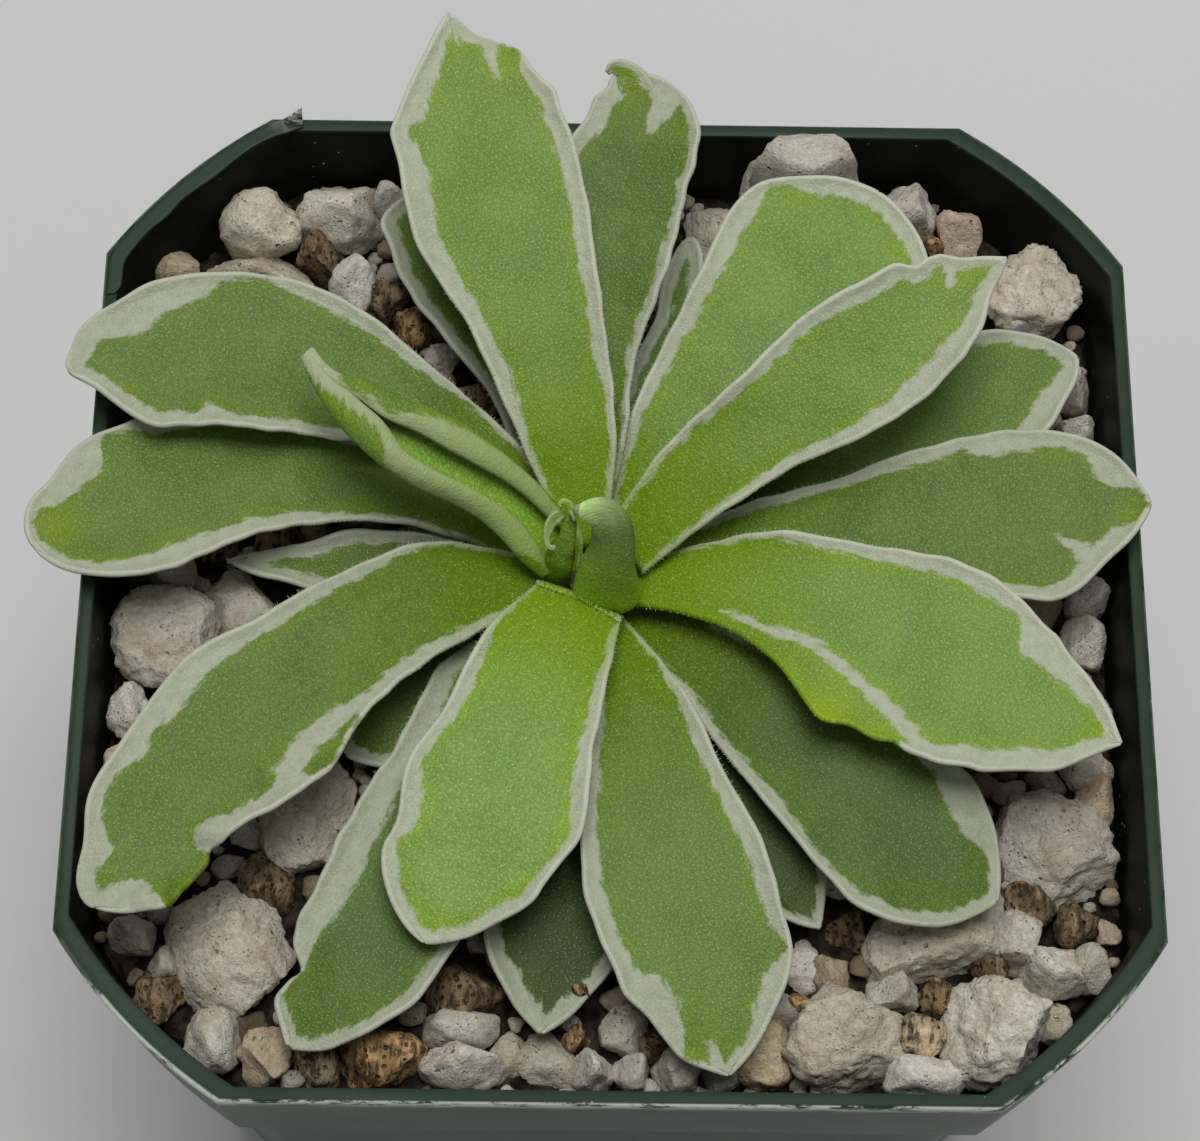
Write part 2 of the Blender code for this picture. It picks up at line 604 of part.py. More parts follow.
def stone_corners(width, depth):
    if width + depth > BIG_STONE:
        return BIG_STONE_CORNERS
    if width + depth > MIDDLE_STONE:
        return MIDDLE_STONE_CORNERS
    return SMALL_STONE_CORNERS


def make_mix():
    """The filling: one body from the floor to the top, with its stones fused in."""
    gap = 2.0 * WALL + 2.0 * FIT
    foot = outline(width_at(FLOOR) - gap, FLOOR + FIT)
    fill = rings_mesh("pumice_mix", [foot, outline(width_at(FILL_TOP) - gap, FILL_TOP)])
    mix = node_object("pumice_mix", fill, material("pumice", (0.55, 0.51, 0.45), 0.9), smooth=False)
    draw = random.Random(STONE_SEED)
    stones = bpy.data.collections.new("stones")
    bpy.context.scene.collection.children.link(stones)
    for x, y, top, width, depth, height in stone_places(draw):
        mesh = pebble_mesh(draw, x, y, top, width, depth, height, stone_corners(width, depth))
        stones.objects.link(bpy.data.objects.new("stone", mesh))
    boolean(mix, "UNION", group=stones, solver="MANIFOLD")
    remove_group(stones)

    # What reaches the pot's wall is cut back to the fit gap
    shelf = POT_HEIGHT - COLLAR_HEIGHT + WALL + FIT
    room = cutter("room", rings_mesh("room", [
        foot,
        outline(width_at(shelf) - 2.0 * COLLAR_STEP - gap, shelf),
        outline(width_at(shelf) - gap, shelf),
        outline(RIM_WIDTH - gap, POT_HEIGHT),
        outline(RIM_WIDTH - gap, POT_HEIGHT + 8.0),
    ]))
    boolean(mix, "INTERSECT", room, solver="MANIFOLD")
    bpy.data.objects.remove(room)

    # The plain hole that the crown and its roots stand in
    rings = [
        circle(CROWN_X, CROWN_Y, height, CROWN_HOLE, CROWN_HOLE_SIDES)
        for height in (CROWN_HOLE_FOOT, POT_HEIGHT)
    ]
    hole = cutter("hole", rings_mesh("hole", rings))
    boolean(mix, "DIFFERENCE", hole, solver="MANIFOLD")
    bpy.data.objects.remove(hole)
    drop_scraps(mix)


def main():
    for old in list(bpy.data.objects):
        bpy.data.objects.remove(old)
    make_pot()
    make_mix()
    make_crown()
    make_leaves()
    make_centre()


main()
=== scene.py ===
"""Potted butterwort, dressed: the fine leaves, stones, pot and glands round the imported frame.

Lengths are named in millimetres and multiplied by MM where a mesh is made. The frame's origin is
the centre of the pot's underside, with +Z up. The leaf and stone places are the CAD's own.
"""

import math
import random
from typing import NamedTuple

import bmesh
import bpy
import numpy as np
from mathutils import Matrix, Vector, noise


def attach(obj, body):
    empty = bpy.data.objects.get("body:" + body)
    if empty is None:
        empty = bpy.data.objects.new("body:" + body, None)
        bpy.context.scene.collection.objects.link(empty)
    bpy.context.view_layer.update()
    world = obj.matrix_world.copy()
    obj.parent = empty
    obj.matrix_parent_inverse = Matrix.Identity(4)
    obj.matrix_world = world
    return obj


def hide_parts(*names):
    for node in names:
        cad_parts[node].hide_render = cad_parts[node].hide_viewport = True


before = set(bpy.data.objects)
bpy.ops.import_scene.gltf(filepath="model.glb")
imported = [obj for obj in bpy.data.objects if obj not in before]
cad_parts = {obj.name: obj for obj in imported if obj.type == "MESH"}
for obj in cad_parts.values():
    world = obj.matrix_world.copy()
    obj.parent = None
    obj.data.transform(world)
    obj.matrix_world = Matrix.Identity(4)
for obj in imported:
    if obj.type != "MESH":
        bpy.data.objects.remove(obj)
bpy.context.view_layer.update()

MM = 0.001
FIT = 0.3

# Pot
RIM_WIDTH = 76.0
CORNER_CUT = 11.8
CORNER_BULGE = 0.9
CORNER_STEPS = 14
FLAT_STEPS = 12
POT_HEIGHT = 70.0
WALL = 1.1
FLOOR = 1.5
COLLAR_HEIGHT = 10.0
COLLAR_STEP = 1.4
TAPER = 0.061
FOOT_ROUND = 0.8
DRAIN_DIAMETER = 6.0
DRAIN_OFFSET = 19.0
DRAIN_SIDES = 32
DRAIN_CUT = (-FLOOR, 2.0 * FLOOR)
SHARP_ANGLE = 40.0
# In front of this y the rim's outer edge carries a painted highlight with its scuffs; elsewhere only
# scuffs.
SCUFF_AND_HIGHLIGHT_FRONT = -30.0
WORN_ELSEWHERE = 0.12

# Pumice mix
FILL_TOP = POT_HEIGHT - 9.0
STONE_SEED = 11
STONE_CLEAR = 0.9
STONE_SINK = 0.8
FILLER_TRIES = 2600
FILLER_SIZES = (3.8, 6.0)
FILLER_DEPTHS = (0.75, 1.1)
FILLER_TOP = POT_HEIGHT - 6.8
FILLER_UNEVEN = 0.8
FILLER_SPACING = 0.53
HIDDEN_RADIUS = 13.0
BED_RISE = 1.2
GRIT_TRIES = 12000
STONE_GROWN = 1.08
STONE_SPREAD = 36.0
STONE_LOOK_SEED = 5
STONE_FINE_FROM = 13.0
STONE_WALL_GAP = 0.25
GRIT_SEED = 23
GRIT_SPREAD = 36.5
GRIT_HIDDEN_RADIUS = 11.0
GRIT_CLEAR = 0.12
GRIT_FINE_FROM = 2.2
FILLER_COLOURS = ("white", "white", "grey", "grey", "tan", "brown", "brown", "mottled")
GRIT_COLOURS = ("brown", "mottled", "tan", "grey", "grey", "white")
CRUSTED = ("brown", "orange", "mottled")

# Crown
CROWN_X = -1.2
CROWN_Y = 1.4

# Leaves
BASE_DISTANCE = 2.4
LEAF_THICK = 0.9
MARGIN_LIFT = 0.8
MARGIN_WAVE = 0.25
WIDTH_STATIONS = (0.0, 0.2, 0.4, 0.6, 0.8)
TOP_STOREY = POT_HEIGHT - 1.4
STOREY_STEP = 1.3

# The dressed blades: thickness of the margin, the curled edge, the fine unevenness and the grids
EDGE_THICK = 0.5
EDGE_ROUND = 0.22
CURL_WIDTH = 1.0
CURL_HEIGHT = 0.28
BLADE_UNEVEN = 0.08
SKEW_FROM = 0.7
LEAF_SEED = 100
FINE_GRID = (97, 47)
HIDDEN_GRID = (61, 33)
OUTLINE_RIPPLE = 0.14


class Leaf(NamedTuple):
    """One leaf as the CAD has it. Heading and bend are degrees, lengths are millimetres."""

    name: str
    storey: int
    heading: float
    bend: float
    length: float
    left: tuple
    right: tuple
    point: float
    base: float
    middle: float
    tip: float
    roll: float = 0.0
    lift: float = MARGIN_LIFT
    wave: float = MARGIN_WAVE
    start: float = BASE_DISTANCE


LEAVES = (
    Leaf("leaf_01", 0, 35.7, -5, 33.2, (3.8, 4.2, 4.9, 4.2), (2.6, 3.5, 5.1, 4.8), 1.1, 2.2, 4.6, 8.5,
         roll=10),
    Leaf("leaf_02", 0, 247, 7, 28.0, (4.6, 5.9, 7.4, 6.3), (4.8, 4.8, 5.5, 5.2), 1.5, 3.2, 0.8, -0.6),
    Leaf("leaf_03", 1, 105, 4.5, 40.4, (3.2, 4.8, 7.2, 6.8), (3.9, 4.9, 5.9, 6.5), 1.1, 1.4, 3.4, 7.5),
    Leaf("leaf_04", 1, 211, 62, 43.0, (3.4, 5.5, 7.4, 5.8), (4.5, 4.6, 5.4, 4.4), 2.0, 1.4, 1.2, 2.0),
    Leaf("leaf_05", 1, 340, -23.5, 37.4, (5.0, 6.3, 7.2, 6.0), (2.4, 5.8, 7.6, 7.0), 1.1, 1.6, 1.2, 1.6),
    Leaf("leaf_06", 2, 153, 88, 41.5, (2.8, 4.0, 6.0, 5.7), (1.8, 3.0, 5.9, 6.4), 2.0, 1.2, 1.2, 3.6),
    Leaf("leaf_07", 2, 283.7, 4.5, 35.3, (4.0, 5.3, 6.6, 6.6), (2.2, 4.6, 6.3, 5.6), 1.3, 1.2, -1.4, -2.8),
    Leaf("leaf_08", 2, 8, -18, 37.5, (2.8, 3.7, 5.1, 6.4), (2.8, 3.9, 5.6, 7.8), 1.5, 1.2, -0.4, 2.4),
    Leaf("leaf_09", 3, 88.5, -34, 37.0, (3.1, 4.3, 5.2, 3.8), (3.2, 4.2, 5.8, 5.9), 2.5, 0.7, 1.0, 4.5),
    Leaf("leaf_10", 3, 55, 0, 34.0, (4.4, 6.2, 7.2, 8.3), (4.0, 6.0, 7.4, 8.3), 1.8, 0.9, -1.0, 1.5),
    Leaf("leaf_11", 3, 171, 78, 41.0, (2.4, 3.5, 5.2, 6.5), (2.5, 3.5, 5.1, 5.5), 2.1, 1.0, -0.8, 2.0),
    Leaf("leaf_12", 3, 318, 11, 34.5, (2.0, 3.6, 5.4, 6.2), (1.5, 3.4, 5.1, 6.4), 1.5, 1.2, -2.6, -3.0),
    Leaf("leaf_13", 3, 240, -5.5, 38.0, (4.8, 5.6, 5.6, 5.7), (6.2, 5.9, 5.6, 4.6), 1.4, 1.3, -2.8, -3.4),
    Leaf("leaf_14", 4, 112, 6, 32.0, (2.1, 2.2, 3.8, 4.9), (2.2, 2.7, 3.9, 4.6), 2.4, 1.3, -3.0, -2.0),
    Leaf("leaf_15", 4, 26, -1, 37.0, (2.5, 3.5, 4.8, 5.1), (2.5, 3.5, 4.8, 4.9), 1.7, 1.3, -2.6, -0.6),
    Leaf("leaf_16", 4, 264, 0, 31.0, (2.5, 3.5, 4.5, 4.8), (2.5, 3.5, 4.5, 4.8), 1.3, 1.3, -4.8, -5.0),
    Leaf("leaf_17", 4, 177, 0, 24.5, (2.2, 2.6, 2.8, 2.2), (2.2, 3.0, 3.0, 2.4), 1.5, 1.3, -4.2, -4.0),
    Leaf("leaf_18", 5, 302, 0, 27.5, (2.4, 3.5, 4.5, 4.4), (2.4, 3.5, 4.5, 4.5), 1.2, 1.2, -5.6, -5.4),
    Leaf("leaf_19", 5, 216, 0, 19.5, (2.2, 3.0, 3.8, 3.8), (2.2, 3.0, 3.8, 3.8), 1.5, 1.2, -5.4, -5.4),
    Leaf("leaf_20", 5, 76, 2, 27.0, (2.0, 2.4, 2.6, 2.4), (1.6, 1.9, 2.0, 1.9), 1.8, 1.2, -4.6, -3.6),
    Leaf("young_leaf", 0, 149, -10, 21.5, (2.2, 2.6, 2.5, 1.7), (2.2, 2.6, 2.4, 1.7), 1.6, 2.1, 5.0, 7.5,
         lift=1.8, wave=0.05, start=3.2),
)


class Look(NamedTuple):
    """How one leaf is marked and cut.

    Left and right give the width of the white margin as (share of the length, millimetres).
    Bumps are (side, share of the length, millimetres outwards, spread) with side 1 for left.
    Streaks are white wedges: (share, across, share, across, half width, half width).
    Lifts are bulges of the blade: (share, across, height, spread), in millimetres but the share.
    Glows are yellow-green places: (share, across, spread, strength).
    Skew moves the tip sideways, in millimetres to the left. Spike draws the very tip out, in
    millimetres. Reach scales the length.
    """

    left: tuple
    right: tuple
    bumps: tuple = ()
    streaks: tuple = ()
    lifts: tuple = ()
    glows: tuple = ()
    # The tone darkens or lightens the whole green of the blade: partly the leaf's own tone, partly painted
    # shade where other leaves shade it.
    tone: float = 1.0
    skew: float = 0.0
    spike: float = 0.0
    reach: float = 1.0
    fine: bool = True


THIN = ((0.0, 0.2), (0.3, 0.5), (0.7, 1.0), (1.0, 1.0))

# Tones under 1 are partly the leaves' own darker green, partly painted shade on the lower leaves that lie
# under others; leaf_16's paints the deep shade under leaf_01.
LOOKS = {
    "leaf_01": Look(
        left=((0, 0.3), (0.2, 0.5), (0.4, 0.8), (0.6, 1.1), (0.8, 1.3), (0.87, 0.9), (0.96, 0.7), (1, 0.7)),
        right=((0, 0.3), (0.3, 0.6), (0.5, 1.0), (0.6, 1.3), (0.7, 1.7), (0.8, 1.6), (0.9, 1.2), (1, 0.8)),
        bumps=((-1, 0.8, -0.4, 0.06), (1, 0.83, -0.5, 0.02), (1, 0.89, 0.3, 0.02), (-1, 0.93, -0.4, 0.04)),
        streaks=((0.91, 2.6, 0.86, 0.3, 0.9, 0.1),),
        glows=((0.9, 0.8, 1.6, 0.3), (0.8, -2.4, 1.6, 0.25)),
        tone=0.96),
    "leaf_02": Look(
        left=((0, 0.4), (0.2, 0.6), (0.4, 0.9), (0.5, 1.25), (0.6, 0.9), (0.7, 0.6), (0.9, 1.0), (1, 0.9)),
        right=((0, 0.3), (0.2, 0.4), (0.3, 1.0), (0.6, 0.9), (0.68, 1.5), (0.73, 1.6), (0.78, 0.8),
               (0.9, 1.0), (1, 0.9)),
        bumps=((1, 0.9, -0.4, 0.06), (1, 0.7, 0.3, 0.07), (-1, 0.75, -0.45, 0.07)),
        lifts=((0.0, 0.0, 0.5, 2.6),),
        glows=((0.97, 0.6, 1.4, 0.3),),
        tone=1.13),
    "leaf_03": Look(
        left=((0, 0.3), (0.2, 0.6), (0.3, 1.2), (0.5, 1.4), (0.6, 1.85), (0.7, 2.0), (0.75, 1.6),
              (0.8, 1.1), (0.82, 1.2), (0.84, 2.0), (0.9, 1.7), (0.95, 1.2), (1, 1.0)),
        right=((0, 0.3), (0.2, 0.5), (0.3, 1.0), (0.5, 1.2), (0.7, 1.5), (0.8, 1.2), (0.86, 0.9),
               (0.89, 0.1), (0.92, 0.1), (0.95, 1.0), (1, 1.0)),
        bumps=((-1, 0.9, 0.5, 0.03), (-1, 0.95, -0.5, 0.03), (-1, 0.8, -0.7, 0.09),),
        streaks=((0.955, -2.2, 0.84, -2.0, 0.85, 0.12), (1.0, 0.0, 0.93, 0.0, 0.35, 0.05)),
        glows=((0.95, 0.2, 1.4, 0.45), (0.87, -2.6, 1.2, 0.35), (0.86, 3.4, 1.2, 0.3)),
        tone=0.95),
    "leaf_04": Look(
        left=((0, 0.3), (0.2, 0.9), (0.3, 1.1), (0.42, 1.0), (0.46, 0.1), (0.6, 0.1), (0.63, 2.0),
              (0.7, 1.2), (0.76, 1.1), (0.8, 0.9), (0.83, -0.4), (0.955, -0.4), (0.965, 1.2), (1, 1.2)),
        right=((0, 0.2), (0.2, 0.3), (0.3, 0.9), (0.4, 1.2), (0.5, 1.2), (0.6, 2.0), (0.66, 2.3),
               (0.7, 1.9), (0.72, 1.5), (0.75, 2.0), (0.8, 1.0), (0.89, 1.1), (0.92, 2.1), (0.945, 1.5),
               (1, 1.2)),
        bumps=((1, 0.68, 0.55, 0.07), (1, 0.95, 0.9, 0.04), (-1, 0.5, -0.5, 0.07),
               (-1, 0.93, -0.4, 0.04), (-1, 0.9, -0.6, 0.05), (1, 0.55, 0.5, 0.06), (1, 0.83, -0.5, 0.015)),
        streaks=((0.42, 5.0, 0.5, 5.1, 0.5, 0.7), (0.5, 5.1, 0.56, 5.2, 0.7, 0.8),
                 (0.56, 5.2, 0.63, 6.0, 0.8, 0.9), (0.76, 5.7, 0.812, 4.7, 0.7, 1.0),
                 (1.0, -0.4, 0.955, 2.2, 0.7, 1.0)),
        lifts=((0.79, 5.2, 0.7, 1.1), (0.81, 4.4, 0.5, 0.7), (0.93, 5.0, 0.7, 1.0), (0.96, 3.0, 0.8, 1.0),
               (0.98, 0.6, 0.6, 1.2)),
        glows=((0.905, 5.6, 1.0, 0.6), (0.955, 4.0, 0.9, 0.6), (0.85, 5.6, 0.8, 0.6)),
        tone=0.68),
    "leaf_05": Look(
        left=((0, 0.2), (0.2, 0.4), (0.4, 1.0), (0.6, 1.2), (0.7, 1.3), (0.74, 0.9), (0.78, 3.0),
              (0.82, 2.2), (0.87, 1.8), (0.93, 1.0), (1, 0.9)),
        right=((0, -0.3), (0.1, -0.5), (0.61, -0.5), (0.65, 0.6), (0.7, 1.3), (0.8, 1.7), (0.9, 1.5),
               (1, 0.9)),
        bumps=((1, 0.82, -0.7, 0.07), (1, 0.68, 0.3, 0.06), (-1, 0.3, -0.4, 0.07), (-1, 0.8, -0.5, 0.05),
               (-1, 0.93, 0.8, 0.04), (-1, 0.46, 1.0, 0.05), (-1, 0.62, -0.5, 0.025)),
        streaks=((0.2, -1.2, 0.3, -1.9, 0.2, 0.3), (0.3, -1.9, 0.4, -2.3, 0.3, 0.4),
                 (0.4, -2.3, 0.5, -3.9, 0.4, 0.45), (0.5, -3.9, 0.6, -5.3, 0.45, 0.55),
                 (0.6, -5.3, 0.68, -6.9, 0.55, 0.7)),
        glows=((0.47, -7.2, 2.6, 0.95), (0.36, -5.8, 1.8, 0.65), (0.58, -7.4, 1.7, 0.6),
               (0.97, 0.6, 1.2, 0.6)),
        tone=1.0, skew=1.1, reach=0.98),
    "leaf_06": Look(
        left=((0, 0.3), (0.5, 0.8), (0.7, 1.0), (0.75, 0.9), (0.79, 1.9), (0.82, 1.0), (0.9, 1.1),
              (0.95, 1.3), (0.97, 1.1), (1, 1.2)),
        right=((0, 0.2), (0.3, 0.3), (0.4, 0.8), (0.5, 1.0), (0.6, 1.3), (0.65, 0.9), (0.68, 0.4),
               (0.75, 0.4), (0.77, 1.6), (0.8, 2.1), (0.85, 2.6), (0.9, 2.9), (0.95, 2.3), (1, 1.5)),
        bumps=((1, 0.92, 0.9, 0.05), (1, 0.6, -0.3, 0.07), (-1, 0.7, 0.4, 0.07), (-1, 0.9, -0.6, 0.06),),
        glows=((0.94, 1.4, 1.2, 0.35), (0.8, 4.4, 1.2, 0.25)),
        tone=0.68, skew=-1.9, spike=0.8, reach=0.97),
    "leaf_07": Look(
        left=((0, 0.3), (0.2, 0.6), (0.3, 0.9), (0.5, 1.3), (0.7, 1.3), (0.75, 0.9), (0.8, 0.3),
              (0.85, 1.5), (0.9, 1.5), (0.95, 0.8), (1, 0.9)),
        right=((0, 0.3), (0.2, 0.7), (0.5, 1.1), (0.6, 1.4), (0.7, 1.2), (0.77, 1.3), (0.8, 2.9),
               (0.85, 2.4), (0.9, 1.8), (0.95, 0.3), (0.97, 0.2), (1, 0.7)),
        streaks=((1.0, -0.7, 0.93, -0.7, 0.6, 0.2),),
        bumps=((-1, 0.85, -0.4, 0.04), (-1, 0.95, 0.4, 0.03),),
        glows=((0.95, -2.4, 1.4, 0.6), (0.88, 0.0, 1.2, 0.15)),
        tone=0.74),
    "leaf_08": Look(
        left=((0, 0.2), (0.4, 0.7), (0.5, 1.0), (0.6, 1.1), (0.65, 0.8), (0.7, 2.0), (0.75, 1.9),
              (0.8, 1.35), (0.85, 1.0), (0.9, 1.2), (0.93, 2.0), (0.965, 2.1), (0.985, 0.5), (1, 0.1)),
        right=((0, 0.2), (0.4, 0.6), (0.8, 1.0), (0.9, 1.3), (0.96, 1.6), (0.985, 0.4), (1, 0.1)),
        bumps=((1, 0.88, -0.2, 0.05), (-1, 0.93, -0.6, 0.05), (1, 0.8, -0.6, 0.07),),
        streaks=((0.97, 2.8, 0.92, 1.4, 0.9, 0.1), (0.9, -4.8, 0.82, -2.6, 1.0, 0.1)),
        glows=((0.96, -0.8, 1.2, 0.6), (0.84, 3.4, 1.2, 0.3)),
        tone=0.67),
    "leaf_09": Look(
        left=((0, 0.2), (0.4, 0.5), (0.8, 1.0), (0.9, 1.7), (1, 1.0)),
        right=((0, 0.2), (0.3, 0.3), (0.4, 0.6), (0.5, 0.7), (0.8, 0.6), (0.9, 0.7), (1, 0.8)),
        bumps=((1, 0.94, -0.5, 0.02), (1, 0.88, -0.6, 0.05),),
        streaks=((0.98, -2.2, 0.88, -1.9, 1.5, 0.3),),
        glows=((0.95, 0.6, 1.6, 0.85), (0.9, -3.8, 1.2, 0.35), (0.9, 2.2, 1.0, 0.3)),
        tone=0.62, reach=0.985),
    "leaf_10": Look(
        left=((0, 0.2), (0.3, 0.8), (0.4, 1.2), (0.6, 1.3), (0.7, 1.6), (0.8, 1.8), (0.85, 1.3),
              (0.88, 0.4), (0.91, 0.5), (0.94, 1.4), (1, 1.4)),
        right=((0, 0.2), (0.3, 0.8), (0.5, 1.2), (0.6, 0.9), (0.7, 1.2), (0.8, 1.0), (0.9, 1.3), (1, 1.3)),
        bumps=((1, 0.95, -0.6, 0.05),),
        glows=((0.88, 5.0, 1.2, 0.35), (0.9, -3.8, 1.1, 0.3)),
        tone=0.98),
    "leaf_11": Look(
        left=((0, 0.1), (0.3, 0.3), (0.4, 0.4), (0.5, 1.0), (0.7, 1.5), (0.8, 1.7), (0.9, 1.3), (1, 0.9)),
        right=((0, 0.2), (0.5, 1.4), (0.6, 1.2), (0.75, 1.3), (0.77, 0.3), (0.81, 0.2), (0.84, 2.8),
               (0.9, 2.4), (0.95, 1.6), (0.97, 0.6), (1, 0.5)),
        bumps=((-1, 0.92, -0.6, 0.05),),
        glows=((0.95, -0.6, 2.0, 0.95), (0.85, -3.0, 1.2, 0.3)),
        tone=0.7),
    "leaf_12": Look(
        left=((0, 0.2), (0.5, 0.6), (0.7, 0.8), (0.75, 1.5), (0.8, 2.5), (0.9, 2.5), (0.95, 1.0), (1, 0.8)),
        right=((0, 0.2), (0.4, 0.8), (0.5, 1.0), (0.6, 0.8), (0.7, 0.6), (0.8, 1.0), (0.9, 1.0), (1, 0.9)),
        bumps=((1, 0.1, 1.6, 0.07), (1, 0.2, 1.5, 0.1), (1, 0.35, 2.0, 0.12), (-1, 0.92, 0.4, 0.05),),
        glows=((0.93, -2.4, 1.4, 0.35),),
        tone=0.54),
    "leaf_13": Look(
        left=((0, 0.2), (0.5, 0.8), (0.7, 0.9), (0.9, 0.8), (1, 0.9)),
        right=((0, 0.3), (0.3, 1.5), (0.4, 1.8), (0.5, 2.0), (0.6, 2.2), (0.7, 2.4), (0.8, 2.0),
               (0.85, 1.6), (0.875, 0.2), (0.93, 0.1), (0.96, 0.7), (1, 0.9)),
        bumps=((-1, 0.9, -0.5, 0.05), (-1, 0.875, -1.0, 0.02), (-1, 0.95, 0.6, 0.03), (1, 0.97, 0.4, 0.03)),
        glows=((0.94, -2.6, 1.2, 0.6), (0.87, -4.0, 1.0, 0.5)),
        tone=0.57),
    "leaf_14": Look(
        left=THIN, right=THIN, bumps=((1, 0.5, -0.4, 0.1), (1, 0.95, 0.6, 0.04)),
        glows=((0.9, 0.0, 1.2, 0.3),), tone=0.62),
    "leaf_15": Look(
        left=((0, 0.2), (0.5, 0.6), (0.9, 1.0), (1, 1.2)),
        right=((0, 0.2), (0.5, 0.8), (0.8, 1.4), (0.9, 2.0), (1, 1.2)),
        bumps=((-1, 0.95, -0.5, 0.05),), tone=0.7),
    "leaf_16": Look(
        left=((0, 0.2), (0.5, 0.8), (0.9, 1.0), (1, 1.3)),
        right=((0, 0.2), (0.5, 0.8), (0.8, 0.9), (0.9, 1.4), (1, 1.5)), tone=0.27),
    "leaf_17": Look(left=THIN, right=THIN, bumps=((1, 0.85, -0.7, 0.15), (-1, 0.85, -0.9, 0.15)), tone=0.6),
    "leaf_18": Look(
        left=((0, 0.2), (0.5, 0.5), (1, 0.6)), right=((0, 0.2), (0.5, 0.5), (1, 0.6)),
        bumps=((1, 0.9, -0.3, 0.1), (-1, 0.9, -0.3, 0.1)), tone=0.3, fine=False),
    "leaf_19": Look(left=THIN, right=THIN, tone=0.5, fine=False),
    "leaf_20": Look(left=THIN, right=THIN, bumps=((1, 0.75, -1.3, 0.2),), tone=0.6, fine=False),
}

